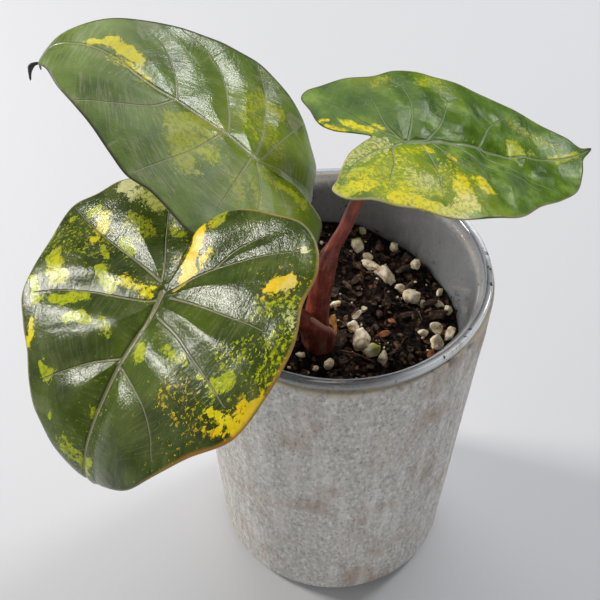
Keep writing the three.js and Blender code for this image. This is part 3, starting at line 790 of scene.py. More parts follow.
@dataclass
class GrowPot:
    """The thin clear pot that hangs in the cover pot by its rolled lip."""

    seat: float = 166.75
    bottom: float = 13.0
    wall: float = 0.9
    bottom_radius: float = 45.6
    collar_foot: float = 160.0
    collar_foot_radius: float = 57.2
    collar_top_radius: float = 57.6
    lip_inner: float = 60.3
    lip_outer: float = 63.7
    lip_height: float = 3.5
    sides: int = 180
    hole_radius: float = 4.0
    hole_circle: float = 30.0
    hole_count: int = 6

    def profile(self) -> np.ndarray:
        """The pot's closed outline from the outside of its bottom to the inside."""
        top = self.seat + self.lip_height
        inside = self.collar_foot_radius - self.wall
        inner_foot = self.bottom_radius - self.wall
        return rounded([
            (0, self.bottom, 0), (self.bottom_radius, self.bottom, 1.5),
            (self.collar_foot_radius, self.collar_foot, 0), (self.collar_top_radius, self.seat - 0.4, 0),
            (self.collar_top_radius + 0.5, self.seat, 0), (self.lip_outer, self.seat, 0.7),
            (self.lip_outer, top, 1.4), (self.lip_inner, top, 1.0), (inside + 0.6, self.seat - 1.6, 1.2),
            (inside, self.collar_foot, 0), (inner_foot, self.bottom + self.wall, 1.0),
            (0, self.bottom + self.wall, 0)], 6.0)

    def build(self, finish: ClearPolypropylene) -> Object:
        """Builds the pot and cuts its drain holes.

        Args:
            finish: the pot's finish.

        Returns:
            The piece.
        """
        rings = revolve(self.profile(), self.sides)
        places = rings.reshape(-1, 3)
        obj = loft("grow_pot_clear", rings)
        radius = np.hypot(places[:, 0], places[:, 1])
        rolled = smoothstep(self.seat + 0.8, self.seat + 2.9, places[:, 2])
        rolled = rolled * smoothstep(self.collar_top_radius, self.lip_inner, radius)
        store(obj, "lip", rolled)
        # The right side of the lip, whose outer edge gets a painted highlight
        painted_lit_side = smoothstep(0.1, 0.6, places[:, 0] / np.maximum(radius, 1))
        store(obj, "glint", painted_lit_side * smoothstep(self.lip_outer - 2.2, self.lip_outer - 1.0, radius))
        close_up(obj)
        drills = []
        for k in range(self.hole_count):
            turn = 2 * math.pi * k / self.hole_count
            bpy.ops.mesh.primitive_cylinder_add(
                vertices=24, radius=self.hole_radius * MM, depth=6 * MM,
                location=(self.hole_circle * MM * math.cos(turn), self.hole_circle * MM * math.sin(turn),
                          self.bottom * MM))
            drills.append(bpy.context.object)
        only(*drills)
        bpy.ops.object.join()
        drill = bpy.context.object
        only(obj)
        cut = obj.modifiers.new("drain_holes", "BOOLEAN")
        cut.object = drill
        cut.operation = "DIFFERENCE"
        bpy.ops.object.modifier_apply(modifier=cut.name)
        bpy.data.objects.remove(drill)
        bpy.ops.object.shade_smooth_by_angle(angle=math.radians(50))
        obj.data.materials.append(finish.build())
        finish_piece(obj, "clear_plastic", "grow_pot")
        return obj


# Potting mix


@dataclass
class Corm:
    """The buried stem base, whose plain CAD node stays and gets a skin."""

    x: float = -8.4
    y: float = -14.2
    radius: float = 8.0
    bottom: float = 108.0

    def dress(self, finish: Crumbs) -> None:
        """Gives the CAD node its material."""
        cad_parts["corm"].data.materials.clear()
        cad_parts["corm"].data.materials.append(finish.build())
        LOG.info("corm: CAD node kept")


@dataclass
class SoilBed:
    """The crumbly surface and the body of the potting mix, with the hole in which the stem base stands."""

    corm: Corm
    level: float = 138.0
    slope_x: float = -0.17
    slope_y: float = 0.12
    lump: float = 1.1
    bottom: float = 14.3
    hole_radius: float = 8.35
    collar_radius: float = 7.0
    mound: float = 2.4
    hole_top: float = 131.0
    hole_gap: float = 0.35
    # From the outside of the grow pot's wall
    wall_gap: float = 1.25
    sides: int = 400
    rings: int = 140

    def height(self, x: np.ndarray, y: np.ndarray) -> np.ndarray:
        """The surface's height in mm, before its crumbs."""
        waves = np.sin(0.17 * x + 1.2) * np.cos(0.15 * y - 0.4) + 0.6 * np.sin(0.22 * (x + y))
        return self.level + self.slope_x * x + self.slope_y * y + self.lump * waves

    def wall_radius(self, z: np.ndarray) -> np.ndarray:
        """Inner radius of the grow pot at a height, less a hair."""
        share = (z - GrowPot.bottom) / (GrowPot.collar_foot - GrowPot.bottom)
        widening = GrowPot.collar_foot_radius - GrowPot.bottom_radius
        return GrowPot.bottom_radius + widening * share - self.wall_gap

    def crumbs(self, places: np.ndarray) -> np.ndarray:
        """Height of the crumbs on the surface at each place."""
        flat = places[:, :2]
        coarse = 1.1 * lumps(flat, 6.5, 11) + 1.35 * np.abs(lumps(flat, 3.6, 12)) - 0.5
        return coarse + 0.75 * lumps(flat, 1.8, 13) + 0.35 * lumps(flat, 0.9, 14)

    def build(self, finish: PottingMix) -> Object:
        """Builds the bed as one closed body.

        Args:
            finish: the mix's finish.

        Returns:
            The piece.
        """
        turn = np.arange(self.sides) * 2 * math.pi / self.sides
        unit = np.stack([np.cos(turn), np.sin(turn)], axis=-1)
        centre = np.array([self.corm.x, self.corm.y])
        hole_bottom = self.corm.bottom - self.hole_gap
        radius = np.full(self.sides, self.wall_radius(np.array(self.level)))
        for _ in range(3):
            radius = self.wall_radius(self.height(radius * unit[:, 0], radius * unit[:, 1]))
        rim = unit * radius[:, None]
        mouth = centre + unit * self.collar_radius
        rows = [np.column_stack([centre + unit * 0, np.full(self.sides, hole_bottom)]),
                np.column_stack([centre + unit * self.hole_radius, np.full(self.sides, hole_bottom)]),
                np.column_stack([centre + unit * self.hole_radius, np.full(self.sides, self.hole_top)])]
        for share in np.linspace(0, 1, self.rings):
            flat = mouth + (rim - mouth) * share
            place = np.column_stack([flat, self.height(flat[:, 0], flat[:, 1])])
            fade = smoothstep(0, 0.03, np.full(self.sides, share)) * (1 - smoothstep(0.985, 1, np.array(share)))
            place[:, 2] += self.crumbs(place) * fade
            place[:, 2] += self.mound * (1 - smoothstep(0, 0.13, np.array(share))) * (0.7 + 0.3 * lumps(flat, 3, 15))
            rows.append(place)
        for share in (0.12, 0.3, 0.55, 0.8, 1.0):
            z = rows[self.rings + 2][:, 2] * (1 - share) + self.bottom * share
            rows.append(np.column_stack([unit * self.wall_radius(z)[:, None], z]))
        rows.append(np.column_stack([unit * 0, np.full(self.sides, self.bottom)]))
        obj = loft("potting_mix_bed", np.array(rows))
        close_up(obj)
        obj.data.materials.append(finish.build())
        finish_piece(obj, "soil", "soil")
        return obj


@dataclass
class LooseBits:
    """Pumice, bark chips and fibres that lie on the bed."""

    bed: SoilBed
    # Pumice: [x, y, length, width, height, turn in degrees]
    pumice: Rows = (
        (10, 42.5, 8.4, 5.6, 6, 100), (15.6, 31, 8.5, 5, 5, -28), (21.6, 26.3, 9, 6.4, 6, -42),
        (29.4, 20.8, 5.6, 3.4, 3.6, 10), (33.7, 17, 8, 7.4, 7.4, 20), (-0.8, 6, 5.4, 3, 3, 2),
        (11.8, 7.2, 3.6, 2.6, 3, 70), (8.7, 2.5, 5.4, 2.8, 2.8, 40), (6.8, -4.6, 5.6, 4.4, 4.6, 15),
        (9.6, -10.4, 8.2, 7.4, 7.4, 35), (14.2, -15.6, 7.6, 5.4, 5.4, -15), (19, -19, 6.2, 3.8, 5, 80),
        (-4, -24, 5.4, 4.2, 5, 80), (43.6, -0.4, 5.8, 4.4, 4.6, 8), (42.8, -7.6, 6.8, 6.4, 6.4, 25),
        (49.2, -1.4, 6, 5.2, 5, 60), (37.8, -3.6, 4.6, 3.6, 3.6, 0), (46.4, 20.8, 5.4, 3, 3, 68),
        (44.8, 14, 6.4, 2.8, 3, 172), (38.6, 13.8, 3.2, 3, 3, 0), (49.4, 10.8, 4, 3.6, 3.6, 30),
        (36.2, 34.6, 4.4, 4, 4, 30), (12.4, 50.4, 3.4, 3.2, 3.4, 0), (14.6, 36.4, 4.6, 3, 3, 10),
        (26.8, 43.4, 4.6, 4.2, 4.2, 50), (-16, -21.4, 3.6, 3.4, 3.4, 0), (-9.6, -26.8, 3, 2.8, 3, 20),
        (-37, 20, 7, 5, 5, 60), (-26, 33, 6, 4.8, 5, 20), (-35, -22, 6.4, 5, 5, 130), (-21, 10, 5, 4, 4, 80),
        (-46, -3, 5.4, 4.4, 4.6, 10), (-22, -40, 5.6, 4.6, 4.6, 40), (6, -43, 5, 4.4, 4.4, 120),
        (30, -36, 6.2, 5, 5, 20))
    # Larger bits as seen: [x, y, z, length, width, height, turn and two tilts in degrees, fresh bark or not]
    plates: Rows = (
        (1.4, -10.7, 137.2, 9.5, 4.2, 1.3, 60, 8, 38, 0), (20.0, -5.6, 134.4, 7.4, 3.0, 1.6, 22, 4, 12, 1),
        (9.8, 29.6, 141.2, 5.6, 4.0, 1.8, 95, 5, 20, 0), (44.0, 7.2, 133.2, 13.0, 5.4, 2.0, 27, -8, 10, 0),
        (36, 17, 134.6, 9.5, 4.4, 2.0, 150, 6, -18, 0), (41, 13, 134.0, 7.4, 3.4, 1.8, 20, 10, 14, 0),
        (33, 22.5, 136.0, 8.0, 3.4, 1.6, 60, -6, 16, 0), (26, -12, 133.0, 8.0, 3.2, 1.5, 110, 4, 18, 0),
        (31, 6, 134.6, 7.0, 4.2, 2.0, 10, -5, -12, 0), (22, 12, 136.2, 6.4, 3.8, 1.6, 75, 4, 14, 0),
        (5, 18, 140.6, 7.2, 3.4, 1.6, 125, 6, 16, 0), (30, 30, 138.4, 8.4, 3.6, 1.6, 35, 3, -14, 0),
        (20, 42, 141.0, 7.0, 3.8, 1.8, 80, 5, 20, 0), (-4, 28, 143.0, 7.6, 4.0, 1.8, 15, 0, 15, 0),
        (14, -30, 132.6, 6.8, 3.0, 1.4, 100, 5, 22, 0), (2, -22, 135.4, 5.6, 3.0, 1.4, 30, 0, 20, 0),
        (24, 2, 134.8, 4.6, 3.2, 1.4, 140, 0, 10, 1), (40, -14, 130.8, 5.2, 3.0, 1.4, 70, 0, 14, 1))
    chip_count: int = 760
    fibre_count: int = 26
    grit_count: int = 90
    fresh_count: int = 44
    clear_of_stem: float = 10.0
    # How far from the middle a bit lies, and its end reaches
    spread: float = 51.0
    reach: float = 52.0
    cuts: int = 9

    def scatter(self, draw: np.random.Generator, count: int) -> np.ndarray:
        """Random places on the bed, clear of the stem and the pot's wall.

        Args:
            draw: the seeded source of numbers.
            count: how many places.

        Returns:
            x, y rows in mm.
        """
        rows: list[tuple[float, float]] = []
        while len(rows) < count:
            x, y = draw.uniform(-self.reach, self.reach, 2)
            from_stem = math.hypot(x - self.bed.corm.x, y - self.bed.corm.y)
            if math.hypot(x, y) < self.spread and from_stem > self.clear_of_stem:
                rows.append((x, y))
        return np.array(rows)

    def stone(self, draw: np.random.Generator, place: tuple[float, float, float], size: tuple[float, float, float],
              turn: float, detail: int, dents: float, tilts: tuple[float, float] | None = None) -> Object:
        """One rough lump.

        Args:
            draw: the seeded source of numbers.
            place: its middle in mm.
            size: its length, width and height in mm.
            turn: its turn about the vertical in degrees.
            detail: subdivisions of the sphere that it starts as.
            dents: how deep its dents are, as a share of its size.
            tilts: its slopes along and across in degrees, or None for a random slope.

        Returns:
            The lump.
        """
        bpy.ops.mesh.primitive_ico_sphere_add(subdivisions=detail, radius=0.5)
        obj = bpy.context.object
        mesh = obj.data
        co = np.empty(len(mesh.vertices) * 3)
        mesh.vertices.foreach_get("co", co)
        co = co.reshape(-1, 3)
        # Broken faces: each cut flattens the side that it meets
        for _ in range(self.cuts):
            way = draw.normal(size=3)
            way /= np.linalg.norm(way)
            co = co - np.maximum(co @ way - draw.uniform(0.3, 0.46), 0)[:, None] * way
        shift = draw.uniform(-50, 50, 3)
        co = co * (1 + dents * lumps(co + shift, 0.42, 21) + 0.5 * dents * lumps(co + shift, 0.2, 22))[:, None]
        if tilts is None:
            tilts = tuple(np.degrees(draw.uniform(-0.4, 0.4, 2)))
        co = co * np.array(size)
        co[:, 2] += co[:, 0] * math.tan(math.radians(tilts[0])) + co[:, 1] * math.tan(math.radians(tilts[1]))
        a = math.radians(turn)
        spin = np.array([[math.cos(a), -math.sin(a), 0], [math.sin(a), math.cos(a), 0], [0, 0, 1]])
        mesh.vertices.foreach_set("co", ((co @ spin.T + np.array(place)) * MM).ravel())
        return obj

    def joined(self, objects: list[Object], name: str, finish: Crumbs, flat: bool) -> Object:
        """Joins bits into one named piece.

        Args:
            objects: the bits.
            name: the piece's name.
            finish: its finish.
            flat: whether its facets stay sharp.

        Returns:
            The piece.
        """
        only(*objects)
        bpy.ops.object.join()
        obj = bpy.context.object
        obj.name = obj.data.name = name
        if flat:
            bpy.ops.object.shade_flat()
        else:
            bpy.ops.object.shade_smooth()
        obj.data.materials.clear()
        obj.data.materials.append(finish.build())
        for face in obj.data.polygons:
            face.material_index = 0
        finish_piece(obj, "soil")
        return obj

    def ground(self, x: float, y: float) -> float:
        """Height of the bed with its crumbs at one place."""
        place = np.array([[x, y, 0.0]])
        return float(self.bed.height(place[:, 0], place[:, 1])[0] + self.bed.crumbs(place)[0])

    def build_pumice(self, finish: Crumbs) -> Object:
        """Builds the pale granules and the grit between them."""
        draw = np.random.default_rng(SEED)
        stones = []
        for x, y, length, width, height, turn in self.pumice:
            z = float(self.bed.height(np.array(x), np.array(y))) + 0.16 * height
            size = (1.16 * length, 1.16 * width, 1.1 * height)
            stones.append(self.stone(draw, (x, y, z), size, turn, 4, 0.2))
        for x, y in self.scatter(draw, self.grit_count):
            size = draw.uniform(0.9, 2.2)
            shape = (size, size * draw.uniform(0.6, 1), size * draw.uniform(0.5, 0.9))
            place = (x, y, self.ground(x, y) + 0.15 * size)
            stones.append(self.stone(draw, place, shape, draw.uniform(0, 180), 2, 0.2))
        return self.joined(stones, "pumice_granules", finish, flat=False)

    def build_chips(self, name: str, finish: Crumbs, count: int, seed: int, longest: float,
                    fresh: bool) -> Object:
        """Builds flat shards of bark.

        Args:
            name: the piece's name.
            finish: its finish.
            count: how many shards.
            seed: the seed of their draw.
            longest: length of the longest in mm.
            fresh: whether these are fresh bark, which picks the larger bits that belong here.

        Returns:
            The piece.
        """
        draw = np.random.default_rng(seed)
        shards = []
        for x, y in self.scatter(draw, count):
            length = longest * draw.uniform(0.25, 1) ** 1.6
            shape = (length, length * draw.uniform(0.35, 0.8), length * draw.uniform(0.15, 0.4))
            lift = self.ground(x, y) + 0.14 * length
            shards.append(self.stone(draw, (x, y, lift), shape, draw.uniform(0, 180), 1, 0.3))
        for x, y, z, length, width, height, turn, along, across, kind in self.plates:
            if bool(kind) == fresh:
                z = max(z, self.ground(x, y) + 0.6)
                shards.append(self.stone(draw, (x, y, z), (length, width, height), turn, 3, 0.3, (along, across)))
        return self.joined(shards, name, finish, flat=True)

    def build_fibres(self, finish: Crumbs) -> Object:
        """Builds coir and root fibres that lie on the bed."""
        draw = np.random.default_rng(SEED + 7)
        threads = []
        for x, y in self.scatter(draw, self.fibre_count):
            length = draw.uniform(4, 11)
            heading = draw.uniform(0, 2 * math.pi)
            bend = draw.uniform(-0.5, 0.5)
            points = []
            for share in np.linspace(-0.5, 0.5, 5):
                turn = heading + bend * share
                px, py = x + length * share * math.cos(turn), y + length * share * math.sin(turn)
                reach = math.hypot(px, py)
                if reach > self.reach:
                    px, py = px * self.reach / reach, py * self.reach / reach
                points.append((px, py, self.ground(px, py) + 0.5 + 0.5 * draw.random()))
            path = smooth_path(np.array(points), 14)
            radius = draw.uniform(0.12, 0.24) * np.sqrt(np.clip(1 - np.linspace(-1, 1, 14) ** 4, 0, 1))
            threads.append(loft("fibre", tube(path, np.column_stack([radius, radius]), 6)))
        # A twig in front of the stem and a straw beside it
        for start, end, thick in (((0, -16.6, 136.6), (16.1, -22.1, 134.4), 0.62),
                                  ((5.9, 0.2, 139.6), (9.6, 5.5, 139.4), 0.45)):
            middle = (np.array(start) + np.array(end)) / 2 + (0.3, 0.4, 0.5)
            path = smooth_path(np.array([start, middle, end]), 14)
            radius = thick * np.clip(1 - np.linspace(-1, 1, 14) ** 8, 0, 1) ** 0.5
            threads.append(loft("stick", tube(path, np.column_stack([radius, 0.7 * radius]), 8)))
        piece = self.joined(threads, "bark_fibres", finish, flat=False)
        close_up(piece)
        return piece


def tube(path: np.ndarray, radii: np.ndarray, sides: int) -> np.ndarray:
    """Rings of a round or oval rod along a path.

    Args:
        path: its middle line in mm.
        radii: half width and half depth at each point.
        sides: places round each ring.

    Returns:
        Rings for loft, in the frame that the CAD's stalks use.
    """
    ahead = np.gradient(path, axis=0)
    ahead /= np.linalg.norm(ahead, axis=1, keepdims=True)
    side = np.cross(np.array([0.0, 1.0, 0.0]), ahead)
    flat = np.linalg.norm(side, axis=1, keepdims=True) < 0.2
    side = np.where(flat, np.cross(np.array([1.0, 0.0, 0.0]), ahead), side)
    side /= np.linalg.norm(side, axis=1, keepdims=True)
    back = np.cross(ahead, side)
    turn = np.arange(sides) * 2 * math.pi / sides
    return (path[:, None, :] + side[:, None, :] * (radii[:, 0][:, None] * np.cos(turn))[:, :, None]
            + back[:, None, :] * (radii[:, 1][:, None] * np.sin(turn))[:, :, None])


# Blades


class Tint(Enum):
    """Colours of the splashes on the blades."""

    LIME = "#b2bc18"
    BRIGHT = "#c6cd10"
    YELLOW = "#e8da06"
    GOLD = "#f2cc0a"
    CREAM = "#dcdaa0"
    OLIVE = "#a2a822"


@dataclass(frozen=True)
class Half:
    """How one half leaves the midrib: its angle, its fall per 100 mm and that fall's change along the blade."""

    tilt: float
    droop: float
    fade: float


@dataclass
class Blade:
    """One leaf blade, bent from its flat outline in the same way as its CAD node.

    Flat places are (along, across) in mm from the junction with the stalk, along to the tip and across
    to the blade's left.
    """

    name: str
    node: str
    junction: tuple[float, float, float]
    # The midrib's bearing and slope there, and its bend beyond, near the tip and behind
    heading: float
    rise: float
    arch: float
    curl: float
    back: float
    # The turn about the midrib, its growth towards the tip, and the midrib's bend to one side
    roll: float
    twist: float
    sweep: float
    left: Half
    right: Half
    # Height of the puffs, and where and how far one lobe laps over the other, in mm
    puff: float
    notch: float
    lap: float
    outline: Rows
    veins: tuple[Rows, ...]
    # Splashes by tint: (along, across) from and to, reach from and to in mm, and strength
    splashes: dict[Tint, Rows]
    fleckiness: float = 0.15
    # Areas of painted backlight, a warmer green: (along, across, reach, strength)
    painted_backlight_areas: Rows = ()
    # Which half is satin: 1 for the left, -1 for the right, 0 for neither
    satin: int = 0
    # Puckered areas: (along, across, reach, height in mm)
    puckers: Rows = ()
    # Stretches of golden margin: bearings from and to in degrees, and strength
    hems: Rows = ()
    # The drip tip's course from the blade's tip, in mm
    drip: Rows = ()
    thickness: float = 0.55
    spokes: int = 360
    rings: int = 84
    vein_steps: int = 14
    # Half widths at the root and the tip
    midrib_half: tuple[float, float] = (1.15, 0.3)
    vein_half: tuple[float, float] = (0.48, 0.18)
    # How far apart the patterns beside two veins are drawn
    vein_shift: float = 37.0
    # How far from a vein the blade puffs up
    puff_reach: float = 7.0

    def margin(self) -> np.ndarray:
        """The outline, one flat place for each spoke."""
        return smooth_path(np.array(self.outline), self.spokes, closed=True)

    def midrib(self, along: np.ndarray) -> tuple[np.ndarray, np.ndarray, np.ndarray]:
        """How far out and up the midrib has got, and its pitch in radians.

        Args:
            along: distances from the junction in mm.

        Returns:
            Out, up and pitch for each distance.
        """
        def pitch(at: np.ndarray) -> np.ndarray:
            """The pitch at these distances."""
            g = at / 100
            bend = np.where(g > 0, self.arch * g + self.curl * g ** 4, self.back * g)
            return np.radians(self.rise + bend)

        steps = 24
        shares = (np.arange(steps) + 0.5) / steps
        pitches = pitch(shares[:, None] * along[None, :])
        out = np.cos(pitches).mean(axis=0) * along
        up = np.sin(pitches).mean(axis=0) * along
        return out, up, pitch(along)

    def bent(self, along: np.ndarray, across: np.ndarray) -> np.ndarray:
        """Bends flat places into the middle of the blade's thickness.

        Args:
            along: distances towards the tip in mm.
            across: distances to the left in mm.

        Returns:
            Places in mm in the part's frame.
        """
        swept = across + np.where(along > 0, self.sweep * (along / 100) ** 2 * 100, 0)
        out, up, pitch = self.midrib(along)
        heading = math.radians(self.heading)
        ahead = np.array([math.cos(heading), math.sin(heading), 0])
        side = np.array([-math.sin(heading), math.cos(heading), 0])
        upright = np.array([0.0, 0.0, 1.0])
        tangent = np.cos(pitch)[:, None] * ahead + np.sin(pitch)[:, None] * upright
        normal = np.cross(tangent, side)
        roll = np.radians(self.roll + self.twist * along / 100)
        is_left = swept > 0
        tilt = np.where(is_left, self.left.tilt, self.right.tilt)
        droop = np.where(is_left, self.left.droop, self.right.droop)
        fade = np.where(is_left, self.left.fade, self.right.fade)
        turn = np.radians((droop + fade * along / 100) * np.abs(swept) / 100) / 2
        chord = np.abs(swept) * np.sinc(turn / math.pi)
        slope = np.radians(tilt) + turn
        level = np.sign(swept) * chord * np.cos(slope)
        raised = chord * np.sin(slope)
        return (np.array(self.junction) + out[:, None] * ahead + up[:, None] * upright
                + (level * np.cos(roll) - raised * np.sin(roll))[:, None] * side
                + (level * np.sin(roll) + raised * np.cos(roll))[:, None] * normal)

    def vein_lines(self) -> list[tuple[np.ndarray, float, float]]:
        """Each vein as (flat places, half width at its root, half width at its tip), the midrib first."""
        widths = [self.midrib_half] + [self.vein_half] * (len(self.veins) - 1)
        return [(smooth_path(np.array(line), self.vein_steps), root, tip)
                for line, (root, tip) in zip(self.veins, widths)]

    def near_vein(self, flat: np.ndarray) -> dict[str, np.ndarray]:
        """Where each flat place lies beside its nearest vein.

        Args:
            flat: (along, across) rows.

        Returns:
            "distance" in mm, "run" along the vein, "side" as a signed distance, "half" width of the vein
            there, and "calm", which falls to 0 where two veins are equally near.
        """
        best = np.full(len(flat), np.inf)
        second = np.full(len(flat), np.inf)
        run = np.zeros(len(flat))
        side = np.zeros(len(flat))
        half = np.ones(len(flat))
        for number, (line, root, tip) in enumerate(self.vein_lines()):
            lengths = np.linalg.norm(np.diff(line, axis=0), axis=1)
            total = lengths.sum()
            passed = 0.0
            own = [np.full(len(flat), np.inf)] + [np.zeros(len(flat)) for _ in range(3)]
            for k, length in enumerate(lengths):
                step = (line[k + 1] - line[k]) / length
                offset = flat - line[k]
                t = np.clip(offset @ step, 0, length)
                distance = np.linalg.norm(offset - t[:, None] * step, axis=1)
                width = root + (tip - root) * ((passed + t) / total) ** 0.7
                turned = np.sign(step[0] * offset[:, 1] - step[1] * offset[:, 0])
                rows = (distance, passed + t + self.vein_shift * number, distance * turned, width)
                closer = distance < own[0]
                own = [np.where(closer, new, old) for new, old in zip(rows, own)]
                passed += length
            closer = own[0] < best
            second = np.where(closer, best, np.minimum(second, own[0]))
            best, run, side, half = (np.where(closer, new, old)
                                     for new, old in zip(own, (best, run, side, half)))
        return {"distance": best, "run": run, "side": side, "half": half,
                "calm": smoothstep(0.4, 4.0, second - best)}

    def relief(self, flat: np.ndarray, share: np.ndarray, distance: np.ndarray) -> np.ndarray:
        """Height of the blade over its bent middle, without its veins.

        Args:
            flat: (along, across) rows.
            share: how far out each place is, from 0 at the junction to 1 at the margin.
            distance: from the nearest vein in mm.

        Returns:
            Heights in mm.
        """
        puffed = 1 - np.exp(-(distance / self.puff_reach) ** 2)
        beyond = smoothstep(self.notch, self.notch + 10, -flat[:, 0])
        lapped = self.lap * np.sign(flat[:, 1]) * beyond * np.exp(-(flat[:, 1] / 14) ** 2)
        rippled = 0.28 * lumps(flat, 8.5, 31) * (1 - share ** 6)
        waved = 0.35 * share ** 8 * lumps(flat, 13, 32)
        for along, across, reach, height in self.puckers:
            near = np.exp(-((flat[:, 0] - along) ** 2 + (flat[:, 1] - across) ** 2) / reach ** 2)
            rippled = rippled + height * near * lumps(flat * (1, 0.6), 6.5, 33) * (1 - share ** 6)
        return self.puff * (puffed - 0.35) * (1 - share ** 4) + lapped + rippled + waved

    def splash_field(self, flat: np.ndarray) -> tuple[np.ndarray, np.ndarray, np.ndarray]:
        """How strongly each place is splashed and flecked, and with which colour.

        Args:
            flat: (along, across) rows.

        Returns:
            Shares from 0 to 1 for splashes and for flecks, and linear colours.
        """
        wander = np.column_stack([lumps(flat, 5, 51), lumps(flat, 5, 52)]) * 1.5
        wander += np.column_stack([lumps(flat, 2.2, 53), lumps(flat, 2.2, 54)]) * 0.7
        moved = flat + wander
        solid = np.zeros(len(flat))
        fleck = np.full(len(flat), self.fleckiness) * (0.6 + 0.6 * lumps(flat, 17, 55))
        weights = np.full(len(flat), 1e-4)
        colours = np.tile(np.array(linear(Tint.LIME.value)) * 1e-4, (len(flat), 1))
        splashes = ((tint, row) for tint, rows in self.splashes.items() for row in rows)
        for tint, (a0, b0, a1, b1, r0, r1, strength) in splashes:
            start = np.array([a0, b0], float)
            step = np.array([a1 - a0, b1 - b0], float)
            t = np.clip((moved - start) @ step / max(step @ step, 1e-6), 0, 1)
            gap = np.linalg.norm(moved - start - t[:, None] * step, axis=1)
            inside = 1 - gap / (r0 + (r1 - r0) * t)
            reach = smoothstep(-0.6, 0.7, inside)
            near = smoothstep(-1.6, 0.2, inside)
            if strength >= 0.6:
                solid = np.maximum(solid, strength * reach)
                fleck = np.maximum(fleck, 0.45 * near)
            else:
                solid = np.maximum(solid, 0.8 * strength * reach)
                fleck = np.maximum(fleck, (0.2 + strength) * smoothstep(-0.6, 0.4, inside))
            weight = (strength * near) ** 2
            weights += weight
            colours += weight[:, None] * np.array(linear(tint.value))
        return solid, np.clip(fleck, 0, 1), colours / weights[:, None]

    def surface(self, flat: np.ndarray, share: np.ndarray) -> dict[str, np.ndarray]:
        """The blade's two faces.

        Args:
            flat: (along, across) rows.
            share: how far out each place is, from 0 to 1.

        Returns:
            What near_vein returns, and "upper" and "lower", the places of the faces in mm.
        """
        middle = self.bent(flat[:, 0], flat[:, 1])
        d = 0.5
        down = self.bent(flat[:, 0] + d, flat[:, 1]) - self.bent(flat[:, 0] - d, flat[:, 1])
        over = self.bent(flat[:, 0], flat[:, 1] + d) - self.bent(flat[:, 0], flat[:, 1] - d)
        normal = np.cross(down, over)
        normal /= np.linalg.norm(normal, axis=1, keepdims=True)
        near = self.near_vein(flat)
        relief = self.relief(flat, share, near["distance"])
        rib = np.exp(-(near["distance"] / (1.5 * near["half"] + 0.3)) ** 2) * near["half"] * (1 - share ** 10)
        thin = self.thickness * (0.55 + 0.45 * (1 - smoothstep(0.985, 1, share)))
        near["upper"] = middle + normal * (relief + thin / 2 - 0.3 * rib)[:, None]
        near["lower"] = middle + normal * (relief - thin / 2 - 0.8 * rib)[:, None]
        return near

    def seat(self) -> tuple[np.ndarray, np.ndarray]:
        """Where the stalk meets the blade's lower face, in mm, and the blade's upward normal there."""
        flat = np.array([[0.0, 0.0], [3.0, 0.0], [-3.0, 0.0], [0.0, 3.0], [0.0, -3.0]])
        lower = self.surface(flat, np.zeros(5))["lower"]
        normal = np.cross(lower[1] - lower[2], lower[3] - lower[4])
        return lower[0], normal / np.linalg.norm(normal)

    def build(self, finish: LeafSkin, back: Material) -> Object:
        """Builds the blade with sunken veins above and raised veins below.

        Args:
            finish: the upper face's finish.
            back: the lower face's material.

        Returns:
            The piece.
        """
        margin = self.margin()
        shares = np.linspace(0, 1, self.rings + 1) ** 0.92
        flat = (margin[None, :, :] * shares[:, None, None]).reshape(-1, 2)
        share = np.repeat(shares, self.spokes)
        reach = np.tile(np.linalg.norm(margin, axis=1), self.rings + 1)
        faces = self.surface(flat, share)
        shape = (self.rings + 1, self.spokes, 3)
        obj = loft(self.name, np.concatenate([faces["upper"].reshape(shape), faces["lower"].reshape(shape)[::-1]]))
        # Painted backlight: areas painted a warmer green, standing in for light from behind
        warm = 0 * share
        for along, across, size, strength in self.painted_backlight_areas:
            gap = np.linalg.norm(flat - (along, across), axis=1) / size
            warm = np.maximum(warm, strength * (1 - smoothstep(0.3, 1, gap + 0.25 * lumps(flat, 9, 57))))
        bearing = np.degrees(np.arctan2(flat[:, 1], flat[:, 0]))
        gold = 0 * share
        for low, high, strength in self.hems:
            stretch = smoothstep(low, low + 15, bearing) * (1 - smoothstep(high - 15, high, bearing))
            gold = np.maximum(gold, strength * stretch * (0.75 + 0.4 * lumps(flat, 6, 61)))
        solid, fleck, tint = self.splash_field(flat)
        longest = max(along for along, _ in self.outline)
        fields = {
            "flat": np.column_stack([flat, 0 * share]), "vein": faces["distance"], "calm": faces["calm"],
            "weave": np.column_stack([faces["run"], faces["side"], faces["half"]]), "edge": (1 - share) * reach,
            "patch": solid, "fleck": fleck, "tint": tint, "warm": warm, "gold": gold,
            "satin": smoothstep(0.5, 7, self.satin * flat[:, 1]),
            "tip": 0.85 * smoothstep(longest - 4.5, longest - 0.5, flat[:, 0])}
        # Both faces carry the same values, and the lower one's rings run inwards
        for name, values in fields.items():
            rows = values.reshape(self.rings + 1, self.spokes, -1)
            store(obj, name, np.concatenate([rows, rows[::-1]]))
        obj.data.materials.append(finish.build())
        obj.data.materials.append(back)
        for number, face in enumerate(obj.data.polygons):
            face.material_index = 0 if number < self.rings * self.spokes else 1
        close_up(obj)
        finish_piece(obj, "leaf", self.node)
        if self.drip:
            self.build_drip(finish)
        return obj

